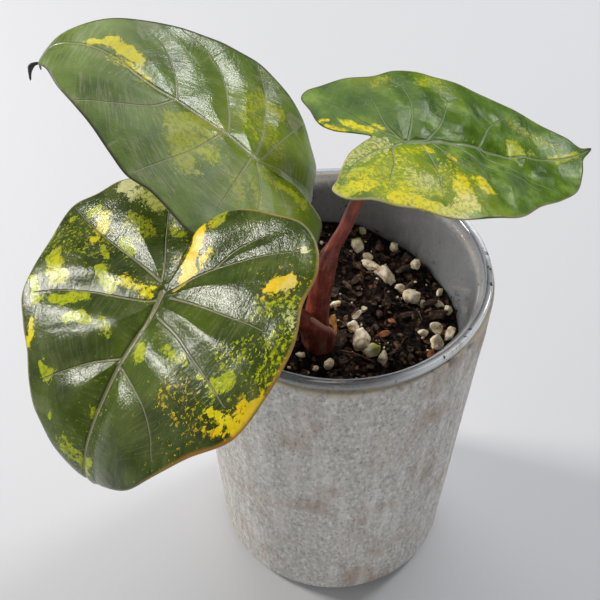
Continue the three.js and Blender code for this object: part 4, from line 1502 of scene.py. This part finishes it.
    def build_drip(self, finish: LeafSkin) -> Object:
        """Builds the dried, curled end of the drip tip.

        Args:
            finish: the blade's finish, which gives the tip's colour.

        Returns:
            The piece.
        """
        longest = max(along for along, _ in self.outline)
        start = self.bent(np.array([longest - 3.5]), np.array([0.0]))[0]
        end = self.bent(np.array([longest]), np.array([0.0]))[0]
        path = smooth_path(np.vstack([start, end + np.array(self.drip)]), 26)
        share = np.linspace(0, 1, 26)
        radius = 0.6 + 0.5 * smoothstep(0.1, 0.5, share) * (1 - 1.3 * smoothstep(0.55, 0.95, share))
        radius *= np.sqrt(np.clip(1 - np.clip(share - 0.93, 0, 1) ** 2 / 0.0052, 0.01, 1))
        rings = tube(path, np.column_stack([radius, 0.7 * radius]), 14)
        ends = [np.broadcast_to(path[k], (1,) + rings.shape[1:]) for k in (0, -1)]
        obj = loft(self.name + "_drip_tip", np.concatenate([ends[0], rings, ends[1]]))
        close_up(obj)
        material, tree, shader = new_material(finish.name + "_dried_tip")
        feed(tree, shader, {"Base Color": linear(finish.tip), "Roughness": 0.5})
        obj.data.materials.append(material)
        finish_piece(obj, "leaf")
        return obj


FRONT_BLADE = Blade(
    name="leaf_front_blade", node="leaf_front", junction=(-63, -70.4, 228), heading=241.9, rise=-13.9, arch=-65.3,
    curl=-111.6, back=18.7, roll=17.4, twist=-5.7, sweep=-0.108, left=Half(10.3, -30.5, -8.6),
    right=Half(6.4, -10.9, -22.5), puff=2.1, notch=16.5, lap=2.3,
    outline=(
        (91, 0), (83, 2.2), (72, 10.5), (62.6, 23.6), (54.5, 31.4), (44.3, 42.3), (34.6, 55), (24.2, 59.1),
        (7.8, 60.9), (-6.1, 56.9), (-19.3, 56.6), (-28.9, 51.8), (-35.4, 43), (-36.9, 30), (-37.1, 18.5),
        (-34.5, 9.8), (-29.4, 4.4), (-24, 1.3), (-16.5, 0), (-24.2, -0.8), (-31.5, -5.4), (-38, -13), (-41.5, -24),
        (-41.5, -36), (-38.3, -44.9), (-31.4, -51.5), (-23.9, -59.5), (-8.5, -59.6), (5, -58.7), (18.1, -55.9),
        (28.2, -48.9), (37.1, -41.3), (48.5, -34.1), (58.3, -27.6), (65.7, -19.3), (75.2, -10.4), (83.1, -1.2)),
    veins=(
        ((-0.6, -0.7), (12, 1), (26.7, -0.9), (41.4, -1), (50.3, -1.1), (62.4, -0.4), (73.5, -0.1), (90, 0)),
        ((-4.3, -3.8), (-9.4, -18.3), (-14.1, -34), (-20.7, -51.7), (-23.1, -57.1)),
        ((-4.4, -3.5), (-10.3, -5.9), (-22.7, -13.5), (-31.3, -17.9)),
        ((2.9, -1), (4.4, -3.9), (6.3, -16.8), (7.6, -29.3), (11, -43), (14.3, -50.9)),
        ((-1.9, 3.7), (-9.9, 12.8), (-15, 22), (-20.6, 34.1), (-24.7, 46.1)),
        ((-12.8, 16.8), (-20.5, 21.3), (-25.7, 27.1), (-28.5, 31.4)),
        ((1.3, 4.6), (2.6, 19.6), (4, 33.3), (4.5, 41.3), (5.2, 47.6)),
        ((9.3, 4.6), (13.8, 17.3), (18.9, 28.3), (23.1, 37.8), (27.8, 47.3)),
        ((29.1, -0.3), (33.5, 9.8), (37.3, 17.6), (44.4, 26.1), (49.2, 29.2)),
        ((26.2, -0.9), (31.3, -11.3), (36.5, -18.6), (44.5, -27.6))),
    painted_backlight_areas=((26, 8, 26, 0.35), (62, -12, 26, 0.3), (4, 22, 14, 0.3)),
    fleckiness=0.3, hems=((22, 125, 1.0), (125, 165, 0.5), (-75, -25, 0.35)),
    splashes={
        Tint.GOLD: (
            (-2, 5, -10, 6, 0.7, 3.4, 1), (-10, 6, -19, 5, 3.4, 3.6, 1), (-19, 5, -25, 4, 3.7, 2.7, 1),
            (-9, 44, -12, 49, 3.0, 3.0, 0.95), (22, 59, 31, 55, 2.0, 2.2, 0.9), (25, 55, 29, 53, 2.2, 2.2, 0.6),
            (36, 44, 34, 52, 1.2, 1.2, 0.6), (31, 27, 35, 41, 6.6, 6.0, 0.25)),
        Tint.YELLOW: (
            (-12, 11, -19, 12, 0.9, 1.6, 0.7), (32, 44, 31, 53, 1.5, 1.8, 0.75), (29, 38, 19, 52, 6.9, 7.9, 0.17),
            (-1, -48, 3, -44, 2.9, 2.9, 0.7), (0, -17, 1, -4, 2.9, 2.5, 0.6), (-23, -42, -18, -40, 2.7, 2.7, 0.7),
            (-14, -40, -14, -40, 1.8, 1.8, 0.9), (25, -45, 35, -40, 1.8, 1.8, 0.7)),
        Tint.CREAM: (
            (-9, 49, -12, 50, 1.5, 1.5, 0.7), (-2, 54, 1, 57, 1.9, 1.9, 0.6), (-37, -41, -34, -25, 4.0, 4.0, 0.6),
            (-36, -42, -37, -39, 3.2, 3.2, 0.9), (-26, 48, -26, 49, 1.3, 1.3, 0.9)),
        Tint.LIME: (
            (-2, 43, -6, 54, 3.3, 3.0, 0.45), (2, 43, 0, 48, 2.4, 2.4, 0.45), (22, 39, 22, 45, 2.2, 2.9, 0.9),
            (25, 42, 25, 43, 2.4, 2.4, 0.85), (23, 32, 23, 34, 1.4, 1.4, 0.8), (21, 4, 24, 9, 2.1, 2.1, 0.85),
            (18, 16, 21, 26, 1.9, 1.5, 0.55), (6, 55, 17, 58, 5.5, 5.5, 0.4), (12, 46, 16, 40, 4.9, 4.9, 0.34),
            (-3, -52, 5, -45, 4.4, 4.4, 0.85), (15, -42, 10, -29, 2.7, 2.2, 0.95), (20, -30, 19, -21, 2.5, 2.5, 0.95),
            (39, -31, 43, -27, 1.3, 3.0, 0.95), (-2, -28, 3, -20, 2.6, 2.6, 0.85),
            (-22, -50, -25, -46, 2.8, 2.8, 0.85), (-18, -57, -18, -56, 1.4, 1.4, 0.9),
            (-11, -35, -8, -30, 1.8, 1.8, 0.8), (-15, -27, -12, -22, 2.6, 2.2, 0.75),
            (9, -56, 18, -49, 2.4, 2.4, 0.8), (65, -8, 68, 0, 4.9, 3.8, 0.6), (66, 1, 74, 1, 2.5, 2.5, 0.8),
            (57, -20, 57, -19, 1.4, 1.4, 0.9), (46, -3, 48, -2, 1.5, 1.5, 0.7), (17, -16, 20, -11, 2.0, 2.0, 0.5),
            (-10, -55, -13, -38, 9.3, 9.3, 0.3)),
        Tint.OLIVE: (
            (-35, -28, -33, -23, 3.1, 3.1, 0.8), (-23, -30, -21, -21, 4.0, 4.0, 0.55),
            (-27, -13, -24, -6, 2.1, 2.1, 0.6), (-29, 8, -32, 8, 2.9, 2.9, 0.7))})

UPPER_BLADE = Blade(
    name="leaf_upper_blade", node="leaf_upper", junction=(-32, -5.9, 232.1), heading=163.5, rise=32.6, arch=16.8,
    curl=-123.3, back=-68.2, roll=7.8, twist=-12.9, sweep=0, left=Half(-1.0, -28.3, -10.4),
    right=Half(-4.1, 13.6, 12.9), puff=1.3, notch=8, lap=1.1, fleckiness=0.12, satin=1,
    painted_backlight_areas=((-12, 4, 34, 0.95), (8, -18, 30, 0.8), (-22, -22, 24, 0.5), (30, 12, 22, 0.3), (70, -6, 20, 0.3)),
    puckers=((20, -24, 18, 0.35),),
    drip=((-1.8, 0, 3.0), (-3.2, 0, 2.0), (-4.0, -0.1, -0.1), (-4.5, -0.3, -4.3)),
    outline=(
        (104.3, -0.5), (97.7, 2.1), (95.5, 6.1), (86.4, 13.4), (77.6, 21.7), (67.6, 27.8), (58.3, 32.4), (46.6, 38.6),
        (38.2, 42.2), (29.5, 42.5), (20, 45), (12.1, 47.9), (6, 48.3), (-4, 45), (-14, 41.2), (-23, 35.8),
        (-30.5, 28), (-35, 19), (-35.2, 9.7), (-34.4, 2.4), (-27, 0.5), (-8, 0), (-26.9, -1.2), (-29.3, -8),
        (-28.1, -17.7), (-27.5, -28.9), (-21.5, -36.9), (-12.8, -46.3), (-2.1, -50.6), (7.4, -52.6), (16.6, -52.5),
        (30.6, -46.9), (41.2, -40.7), (50.1, -35.1), (62.5, -26.7), (77.7, -16.4), (85.9, -9.9), (93.1, -5.6),
        (97.5, -1.6)),
    veins=(
        ((0.8, -0.9), (13, -2.8), (18.7, -1.8), (35.4, -0.8), (51.2, 1.8), (65, -0.5), (73.9, -1.1), (80.4, -0.4),
         (102, -0.5)),
        ((37.4, -0.8), (41.9, -10.3), (51.8, -20.4), (58.4, -22)),
        ((14.6, -2.6), (17.7, -15.5), (27.8, -31.6), (37.2, -35.6), (48.2, -34.4)),
        ((1.5, -3.7), (2, -18.2), (7.4, -39.5), (14.2, -49.2)),
        ((-1.4, -3.4), (-6, -20.9), (-10, -34.5)),
        ((37.3, -0.7), (44.4, 10.6), (55.9, 19.1), (67.6, 25.7)),
        ((15.9, -2.2), (23.1, 15.5), (31.1, 29.6), (36.7, 38.8)),
        ((2.6, 1.2), (4.3, 18.5), (5.5, 33)),
        ((-0.2, 1.3), (-4.5, 10.3), (-7.7, 21.9)),
        ((-1.8, 0.5), (-11, 5.4), (-16.6, 12.7)),
        ((-1.9, -1.7), (-11.4, -6), (-19.1, -9.5), (-26.1, -10.6))),
    splashes={
        Tint.YELLOW: (
            (76, -3, 67, -8, 1.4, 2.4, 0.9), (68, -7, 57, -5, 2.6, 2.6, 0.95), (63, 0, 50, 0, 2.7, 2.7, 0.6)),
        Tint.OLIVE: (
            (33, 14, 24, 23, 4.2, 4.2, 0.95), (34, 9, 20, -1, 4.7, 5.6, 0.95), (24, 27, 19, 25, 2.5, 2.5, 0.6),
            (8, -36, -1, -35, 4.6, 4.6, 0.7), (1, -22, -5, -14, 6.0, 6.0, 0.5), (5, 14, 1, 22, 3.2, 3.2, 0.6),
            (-1, 11, -7, 22, 2.3, 2.3, 0.6)),
        Tint.LIME: (
            (27, 14, 19, 12, 6.2, 6.2, 0.7), (12, -23, 9, -38, 4.5, 4.5, 0.6), (6, -12, 11, -17, 3.4, 3.4, 0.6),
            (-3, 3, -8, 5, 2.1, 2.1, 0.5)),
        Tint.BRIGHT: (
            (-10, 4, -22, 5.5, 2.0, 3.2, 0.75),)})

RIGHT_BLADE = Blade(
    name="leaf_right_blade", node="leaf_right", junction=(23.8, 0.3, 236), heading=16.2, rise=-14.9, arch=-44.1,
    curl=80.5, back=-26.2, roll=4.9, twist=0.5, sweep=0.149, left=Half(7.2, -14, 12.8), right=Half(4, -21.1, 8.3),
    puff=1.2, notch=13.8, lap=0,
    outline=(
        (97.5, -1.5), (93, 1.8), (88.7, 9.4), (78, 18.7), (67, 26.1), (54.7, 30.8), (44.1, 33.5), (35.5, 36.4),
        (24.2, 37.2), (15.7, 39.4), (6.3, 38.6), (-3.9, 34.6), (-16.3, 33), (-26, 29.8), (-32.5, 27.7), (-35.3, 24.2),
        (-33.9, 17.6), (-32.3, 10.2), (-28.1, 6.5), (-20.4, 4.5), (-14.1, 2.4), (-18.3, -0.6), (-25.4, -6.2),
        (-30, -12.4), (-33.8, -19), (-37, -23.1), (-35.3, -26.7), (-31.2, -29.3), (-23.9, -30.2), (-16.6, -33.4),
        (-7.9, -35.7), (-0.1, -39), (8, -40.7), (24, -38.6), (40.2, -35.5), (55.8, -27.2), (71, -22.3), (81.6, -17.8),
        (88.5, -9.5), (91.8, -3.7)),
    veins=(
        ((0, 0.4), (11.4, 1), (33.9, 1.2), (57.8, 0.1), (79, 0.1), (96.5, -1.4)),
        ((-1.5, 0.8), (-6, 8.4), (-7.1, 17), (-8.3, 25.6)),
        ((1, 0.9), (5.4, 10.6), (7.9, 20.3), (7, 29.4)),
        ((8.8, 0.9), (18.3, 10.6), (26.9, 25.1)),
        ((34.2, 1.2), (45.2, 14.7), (59, 22.6)),
        ((-2.4, 2.2), (-13.3, 8.3), (-23.6, 18.7), (-29.1, 23.1)),
        ((-3.4, -1.4), (-6.8, -3.4), (-9.4, -12.2), (-14.4, -21.5)),
        ((5.7, 0.6), (6.7, -4.5), (7.2, -16.8), (4.6, -30.7)),
        ((11, 1), (12, -1.1), (19.4, -10.8), (30.7, -18.8), (40.3, -25.2)),
        ((33, 1.2), (33.5, -0.1), (46.4, -6.9), (58.3, -11.8), (69.1, -18.8)),
        ((-1.6, -0.4), (-5, -2.1), (-16.1, -5.9), (-27.4, -14.3), (-33.8, -22.6)),
        ((21, 1.1), (21.9, 0.3), (32.9, -7.6), (47.6, -11.7), (59.6, -17.6))),
    fleckiness=0.22, hems=((-178, -62, 1.0), (-62, -5, 0.5)),
    painted_backlight_areas=((-12, -18, 30, 0.85), (14, -26, 24, 0.6), (-8, 34, 12, 0.5), (26, 34, 14, 0.5)),
    puckers=((46, -16, 20, 1.5), (54, 10, 17, 1.5), (22, 14, 16, 1.0), (78, -2, 12, 0.8), (38, -28, 12, 1.3)),
    splashes={
        Tint.YELLOW: (
            (-20, 9, -9, 6, 2.0, 1.4, 1), (-23, 10, -20, 9, 1.3, 1.3, 1), (-31, 10, -29, 11, 1.3, 1.3, 0.8),
            (-29, 7, -23, 6, 1.3, 1.3, 0.7), (-30, -24, -21, -22, 3.5, 3.5, 0.75), (-14, -29, 3, -37, 4.0, 3.1, 0.9),
            (16, -21, 15, -30, 4.7, 4.7, 0.85), (25, -20, 27, -23, 3.5, 3.5, 0.8), (6, -4, 7, -4, 2.2, 2.2, 0.9),
            (-10, -14, -11, -31, 9.1, 9.1, 0.4), (5, -24, 13, -15, 6.2, 6.2, 0.3)),
        Tint.CREAM: (
            (-28, -9, -9, -1, 3.8, 3.3, 0.55), (-4, -21, 2, -20, 2.9, 2.9, 0.6), (15, -33, 7, -38, 3.9, 3.9, 0.8)),
        Tint.LIME: (
            (-24, -4, -14, 0, 2.9, 2.9, 0.5), (-36, -24, -33, -26, 2.5, 2.5, 0.95),
            (-30, -17, -20, -16, 4.0, 4.0, 0.6), (-15, -18, -15, -13, 3.7, 3.7, 0.5),
            (-9, -24, 4, -26, 4.2, 4.2, 0.6), (0, -38, 13, -37, 2.3, 2.3, 0.8), (-3, -5, 9, -4, 2.6, 2.1, 0.6),
            (55, 7, 55, 3, 3.8, 3.8, 0.9), (65, 4, 63, 2, 2.4, 2.4, 0.5), (76, 0, 89, 0, 2.6, 2.1, 0.7),
            (16, 33, 24, 33, 3.4, 3.4, 0.6)),
        Tint.GOLD: (
            (16, -6, 18, -9, 1.7, 1.7, 0.7), (80, 3, 90, 1, 1.6, 1.4, 0.3)),
        Tint.OLIVE: (
            (58, 19, 82, 5, 2.4, 2.2, 0.5), (-4, 31, 2, 33, 2.5, 2.5, 0.6))})


# Stalks


@dataclass
class Stalk:
    """One leaf stalk from the corm to its blade."""

    name: str
    node: str
    blade: Blade
    path: Rows
    radii: Rows
    sides: int = 36
    steps: int = 110
    # Height over which the sheath's pale edge shows, and the bearing of that edge in degrees
    edge: tuple[float, float, float] = (0.0, 0.0, 0.0)
    dark_below: float = 150.0

    def rings(self) -> np.ndarray:
        """Rings of the stalk, with a foot that closes and a top that lies against the blade."""
        seat, normal = self.blade.seat()
        points = np.vstack([np.array(self.path, float), seat])
        path = smooth_path(points, self.steps)
        shares = np.linspace(0, len(points) - 1, self.steps)
        knots = np.arange(len(points))
        radii = np.column_stack([np.interp(shares, knots, [r[k] for r in self.radii]) for k in (0, 1)])
        rings = tube(path, radii, self.sides)
        ahead = path[-1] - path[-2]
        ahead /= np.linalg.norm(ahead)
        past = (rings - seat) @ normal
        rings -= (np.maximum(past + 0.05, 0) / (ahead @ normal))[..., None] * ahead
        return np.concatenate([path[None, :1].repeat(self.sides, axis=1), rings,
                               rings[-1:].mean(axis=1, keepdims=True).repeat(self.sides, axis=1)])

    def build(self, skin: Material) -> Object:
        """Builds the stalk.

        Args:
            skin: its material.

        Returns:
            The piece.
        """
        rings = self.rings()
        places = rings.reshape(-1, 3)
        axis = rings.mean(axis=1, keepdims=True)
        outward = rings - axis
        uneven = 1 + 0.03 * lumps(places * (1, 1, 0.2), 3.0, 41).reshape(rings.shape[:2])
        obj = loft(self.name, axis + outward * uneven[:, :, None])
        bearing = np.degrees(np.arctan2(outward[..., 1], outward[..., 0]))
        run = np.broadcast_to(np.arange(len(rings))[:, None], bearing.shape)
        store(obj, "skin", np.stack([bearing / 14, run * 1.0, run * 0.0], axis=-1))
        low, high, toward = self.edge
        height = rings[..., 2]
        turned = np.abs((bearing - toward + 180) % 360 - 180)
        pale = smoothstep(low, low + 3, height) * (1 - smoothstep(high - 3, high, height)) if high else 0 * height
        store(obj, "pale", 0.8 * pale * (1 - smoothstep(6, 16, turned)))
        store(obj, "shade", 0.75 * (1 - smoothstep(self.dark_below - 16, self.dark_below, height)))
        close_up(obj)
        obj.data.materials.append(skin)
        finish_piece(obj, "stalk", self.node)
        return obj


@dataclass
class ClaspingSheath:
    """The swollen foot of the front leaf's stalk, whose slanting lip clasps the younger stalks."""

    x: float = -8.4
    y: float = -14.2
    foot: float = 131.0
    wall: float = 0.8
    # The body's radius by height
    body: Rows = (
        (131.0, 6.7), (139.0, 6.8), (143.0, 7.2), (148.0, 7.9), (153.0, 8.2), (158.0, 7.9), (162.5, 7.1))
    # Height of the lip by bearing in degrees
    lip: Rows = (
        (-180, 155.5), (-154, 158.3), (-127, 160.9), (-108, 161.5), (-96, 160.6), (-85, 159.3), (-76, 158.0),
        (-68, 156.8), (-55, 155.5), (-40, 152.5), (-28, 149.8), (-16, 147.8), (10, 144.0), (50, 143.0),
        (90, 146.0), (130, 151.0), (180, 155.5))
    # The dry scale leaf: its height, half width and lean
    scale: Rows = ((132, 2.4, 0), (137, 3.0, 0.3), (141, 2.9, 0.9), (144.5, 2.0, 1.7), (146.4, 0.3, 2.3))
    scale_x: float = -2.4
    scale_y: float = -6.2
    scale_turn: float = 40.0
    sides: int = 120
    rings: int = 26

    def radius(self, height: np.ndarray) -> np.ndarray:
        """The body's outer radius at a height."""
        return np.interp(height, [h for h, _ in self.body], [r for _, r in self.body])

    def build(self, skin: Material) -> Object:
        """Builds the cup with its thin wall and rounded edge."""
        turn = np.radians(np.arange(self.sides) * 360 / self.sides - 180)
        top = np.interp(np.degrees(turn), [a for a, _ in self.lip], [h for _, h in self.lip])
        rows = [(0.0, 0 * turn + self.foot)]
        rows += [(1.0, self.foot + (top - self.foot) * share) for share in np.linspace(0, 0.985, self.rings)]
        rows += [(0.5, top + 0.15), (-1.0, top - 0.3)]
        rows += [(-1.0, top - 0.3 - drop) for drop in (1.0, 2.2, 3.6, 5.0)]
        rings = []
        for side, z in rows:
            radius = self.radius(z) * (1.0 if side else 0.0)
            if side < 1 and side != 0:
                radius = radius - self.wall * (0.45 if side > 0 else 1.0)
            ripple = 0.14 * lumps(np.column_stack([np.degrees(turn) / 9, z / 7]), 1.0, 71)
            radius = radius * (1 + 0.15 * ripple)
            rings.append(np.column_stack([self.x + radius * np.cos(turn), self.y + radius * np.sin(turn), z]))
        middle = rings[-1].mean(axis=0)
        rings.append(rings[-1] * 0 + middle - (0, 0, 2.0))
        rings = np.array(rings)
        obj = loft("front_stalk_sheath", rings)
        below = np.broadcast_to(top, rings.shape[:2]) - rings[..., 2]
        bearing = np.broadcast_to(np.degrees(turn), rings.shape[:2])
        store(obj, "skin", np.stack([bearing / 6, rings[..., 2] * 1.5, 0 * bearing], axis=-1))
        store(obj, "pale", 0.95 * (1 - smoothstep(1.2, 3.4, below)))
        store(obj, "shade", 0.35 * smoothstep(1.5, 10, below))
        close_up(obj)
        obj.data.materials.append(skin)
        finish_piece(obj, "stalk")
        self.build_scale()
        return obj

    def build_scale(self) -> Object:
        """Builds the dry papery scale that stands behind the cup."""
        way = math.radians(self.scale_turn)
        rings = []
        for height, width, lean in self.scale:
            turn = np.arange(16) * 2 * math.pi / 16
            across = width * np.cos(turn)
            deep = 0.32 * np.sin(turn) - 0.05 * across ** 2
            x = self.scale_x + across * math.sin(way) + (deep + lean) * math.cos(way) * 0.6
            y = self.scale_y - across * math.cos(way) + (deep + lean) * math.sin(way) * 0.6
            rings.append(np.column_stack([x, y, 0 * turn + height + 0.4 * np.sin(3 * turn)]))
        rings.insert(0, rings[0] * 0 + rings[0].mean(axis=0))
        rings.append(rings[-1] * 0 + rings[-1].mean(axis=0) + (0, 0, 0.2))
        obj = loft("dry_scale_leaf", np.array(rings))
        close_up(obj)
        obj.data.materials.append(Crumbs(
            "dry_papery_scale", ((0.3, "#6e4622"), (0.48, "#b07c3c"), (0.66, "#e0b06a")), 3.0, 0.6, 0.6).build())
        finish_piece(obj, "stalk")
        return obj


# Surroundings


@dataclass
class Studio:
    """A pale floor, soft lamps and the photograph's camera."""

    camera_mm: tuple[float, float, float] = (-16.19, -352.0, 522.4)
    tilt_degrees: float = 43.39
    lens: float = 72.0
    floor_colour: str = "#d1d2d5"
    sky: str = "#eef1f5"
    sky_strength: float = 0.15

    def camera(self) -> None:
        """Sets the camera where the photograph was taken from."""
        data = bpy.data.cameras.new("camera")
        data.lens = self.lens
        data.sensor_width = 36.0
        obj = bpy.data.objects.new("camera", data)
        obj.location = [value * MM for value in self.camera_mm]
        obj.rotation_euler = (math.radians(self.tilt_degrees), 0, 0)
        bpy.context.scene.collection.objects.link(obj)
        bpy.context.scene.camera = obj

    def lamp(self, name: str, bearing: float, elevation: float, distance: float, size: tuple[float, float],
             power: float, colour: str) -> None:
        """Adds a softbox that faces the plant.

        Args:
            name: the lamp's name.
            bearing: degrees from +Y towards +X.
            elevation: degrees above the floor.
            distance: from the plant in metres.
            size: width and height in metres.
            power: in watts.
            colour: the light's colour.
        """
        data = bpy.data.lights.new(name, "AREA")
        data.shape = "RECTANGLE"
        data.size, data.size_y = size
        data.energy = power
        data.color = linear(colour)[:3]
        obj = bpy.data.objects.new(name, data)
        a, e = math.radians(bearing), math.radians(elevation)
        way = np.array([math.sin(a) * math.cos(e), math.cos(a) * math.cos(e), math.sin(e)])
        obj.location = way * distance + np.array([-0.02, -0.02, 0.18])
        obj.rotation_euler = (math.pi / 2 - e, 0, math.pi - a)
        bpy.context.scene.collection.objects.link(obj)

    def floor(self) -> None:
        """Adds the pale floor."""
        bpy.ops.object.select_all(action="DESELECT")
        bpy.ops.mesh.primitive_plane_add(size=6.0, location=(0, 0, 0))
        obj = bpy.context.object
        obj.name = obj.data.name = "studio_floor"
        material, tree, shader = new_material("pale_paper_floor")
        feed(tree, shader, {"Base Color": linear(self.floor_colour), "Roughness": 0.9, "Specular IOR Level": 0.1})
        obj.data.materials.append(material)

    def build(self) -> None:
        """Sets up everything round the plant."""
        self.camera()
        self.floor()
        world = bpy.data.worlds.new("pale_room")
        world.use_nodes = True
        sky = world.node_tree.nodes["Background"]
        sky.inputs["Color"].default_value = linear(self.sky)
        sky.inputs["Strength"].default_value = self.sky_strength
        bpy.context.scene.world = world
        bpy.context.scene.view_settings.view_transform = "Standard"
        self.lamp("softbox_left", -70, 28, 1.1, (0.22, 0.3), 9.5, "#fffaf4")
        self.lamp("softbox_back_right", 52, 33, 1.8, (0.32, 0.32), 9.5, "#ffffff")
        self.lamp("white_screen_left", -95, 16, 1.6, (1.2, 0.8), 2.0, "#fffdfa")
        self.lamp("pale_wall", 15, 50, 1.7, (2.3, 1.2), 19.0, "#fbfcff")
        self.lamp("front_fill", 165, 14, 1.5, (1.2, 0.8), 4.5, "#ffffff")
        LOG.info("studio: camera, floor and lamps")


def main() -> None:
    """Builds the studio and every piece of the plant in order."""
    logging.basicConfig(level=logging.INFO, format="%(name)s: %(message)s")
    Studio().build()

    CoverPot().build(MattStoneware())
    GrowPot().build(ClearPolypropylene())

    corm = Corm()
    corm.dress(Crumbs("corm_bark", ((0.3, "#241610"), (0.6, "#5a3d2c")), 6.0, 1.0))
    bed = SoilBed(corm)
    bed.build(PottingMix())
    bits = LooseBits(bed)
    bits.build_pumice(Crumbs(
        "pumice", ((0.3, "#94794f"), (0.42, "#dcc59c"), (0.53, "#f6e8cd"), (0.8, "#fff9ee")), 2.2, 0.5,
        algae=((10.5, 46, 143, 6.5), (16.6, -15.6, 137, 4.2)), algae_colour="#93981f"))
    bits.build_chips("bark_chips", Crumbs(
        "composted_bark", ((0.3, "#120b08"), (0.46, "#2b1b11"), (0.58, "#553a27"), (0.72, "#8f6c4c")), 2.2, 0.9),
        bits.chip_count, SEED + 1, 5.6, fresh=False)
    bits.build_chips("fresh_bark_chips", Crumbs(
        "fresh_bark", ((0.3, "#5c2f17"), (0.5, "#8d4f25"), (0.72, "#b97a45")), 2.4, 0.5), bits.fresh_count,
        SEED + 2, 4.4, fresh=True)
    bits.build_fibres(Crumbs("coir_fibre", ((0.3, "#33200f"), (0.5, "#5f4128"), (0.7, "#94704a")), 4.0, 0.6))

    back = LeafBack().build()
    FRONT_BLADE.build(LeafSkin("front_leaf_skin", "#2c3b0f", "#42521c", "#5d6a30", "#a59f80", "#8a8458",
                               relief=1.25), back)
    UPPER_BLADE.build(LeafSkin("upper_leaf_skin", "#4e6429", "#657c2c", "#7c9248", "#a8a086", "#463b3c",
                               tip="#2b2c33", roughness=0.18, relief=0.9, gloss=0.33, groove=0.08, threads=0.45,
                               fade=0.1, cover=0.95, hem=1.5, warm="#7a9010"), back)
    RIGHT_BLADE.build(LeafSkin("right_leaf_skin", "#375809", "#587a18", "#8aa63c", "#9ca684", "#5a4636",
                               gold_margin="#cfc08a", warm="#8ea00c", gloss=0.18, groove=0.2, mottle=0.8,
                               relief=1.5), back)

    skin = StalkSkin().build()
    stalks = (
        Stalk("upper_stalk", "petiole_upper", UPPER_BLADE,
              ((-10.4, -11, 130.5), (-10.4, -10.8, 148), (-10.6, -9.4, 166), (-13, -7.6, 182), (-19, -6.4, 198),
               (-26, -5.8, 212), (-30.6, -5.8, 222.5)),
              ((2.1, 2.1), (2.1, 2.1), (2.1, 2.1), (2.2, 2.2), (2.3, 2.3), (2.3, 2.3), (2.3, 2.3), (2.6, 2.6))),
        Stalk("right_stalk", "petiole_right", RIGHT_BLADE,
              ((-9.3, -12.8, 130.5), (-9.4, -12.2, 150), (-8.4, -10.6, 161.5), (-6.9, -9.2, 171.5),
               (-5.3, -7.9, 181.5), (-2.4, -6.7, 189), (1.2, -5.7, 196.6), (6, -3.9, 210), (14, -1.6, 223.5)),
              ((6, 5.4), (5.6, 5.2), (4.7, 4.7), (4.6, 4.5), (4.3, 4.2), (2.8, 2.8), (2.7, 2.7), (2.55, 2.55),
               (2.4, 2.4), (2.7, 2.7)), edge=(176, 191, -150), dark_below=158),
        Stalk("front_stalk", "petiole_front", FRONT_BLADE,
              ((-8.4, -14.2, 130.5), (-9.5, -15.2, 142), (-12, -17.4, 152), (-18, -21.5, 164), (-29, -32, 184),
               (-42, -46.5, 205), (-54.5, -61, 219)),
              ((6.4, 6.1), (5.6, 5.4), (4.6, 4.4), (3.7, 3.5), (2.8, 2.8), (2.6, 2.6), (2.5, 2.5), (2.8, 2.8)),
              dark_below=152))
    for stalk in stalks:
        stalk.build(skin)
    # The sheath wears a brighter copy of the stalk skin, painted light that makes up for the shade of the leaves over
    # it
    ClaspingSheath().build(StalkSkin("sheath_skin_painted_brighter", "#55241c", "#9a483a", "#c87059", "#e09c90").build())


if __name__ == "__main__":
    main()
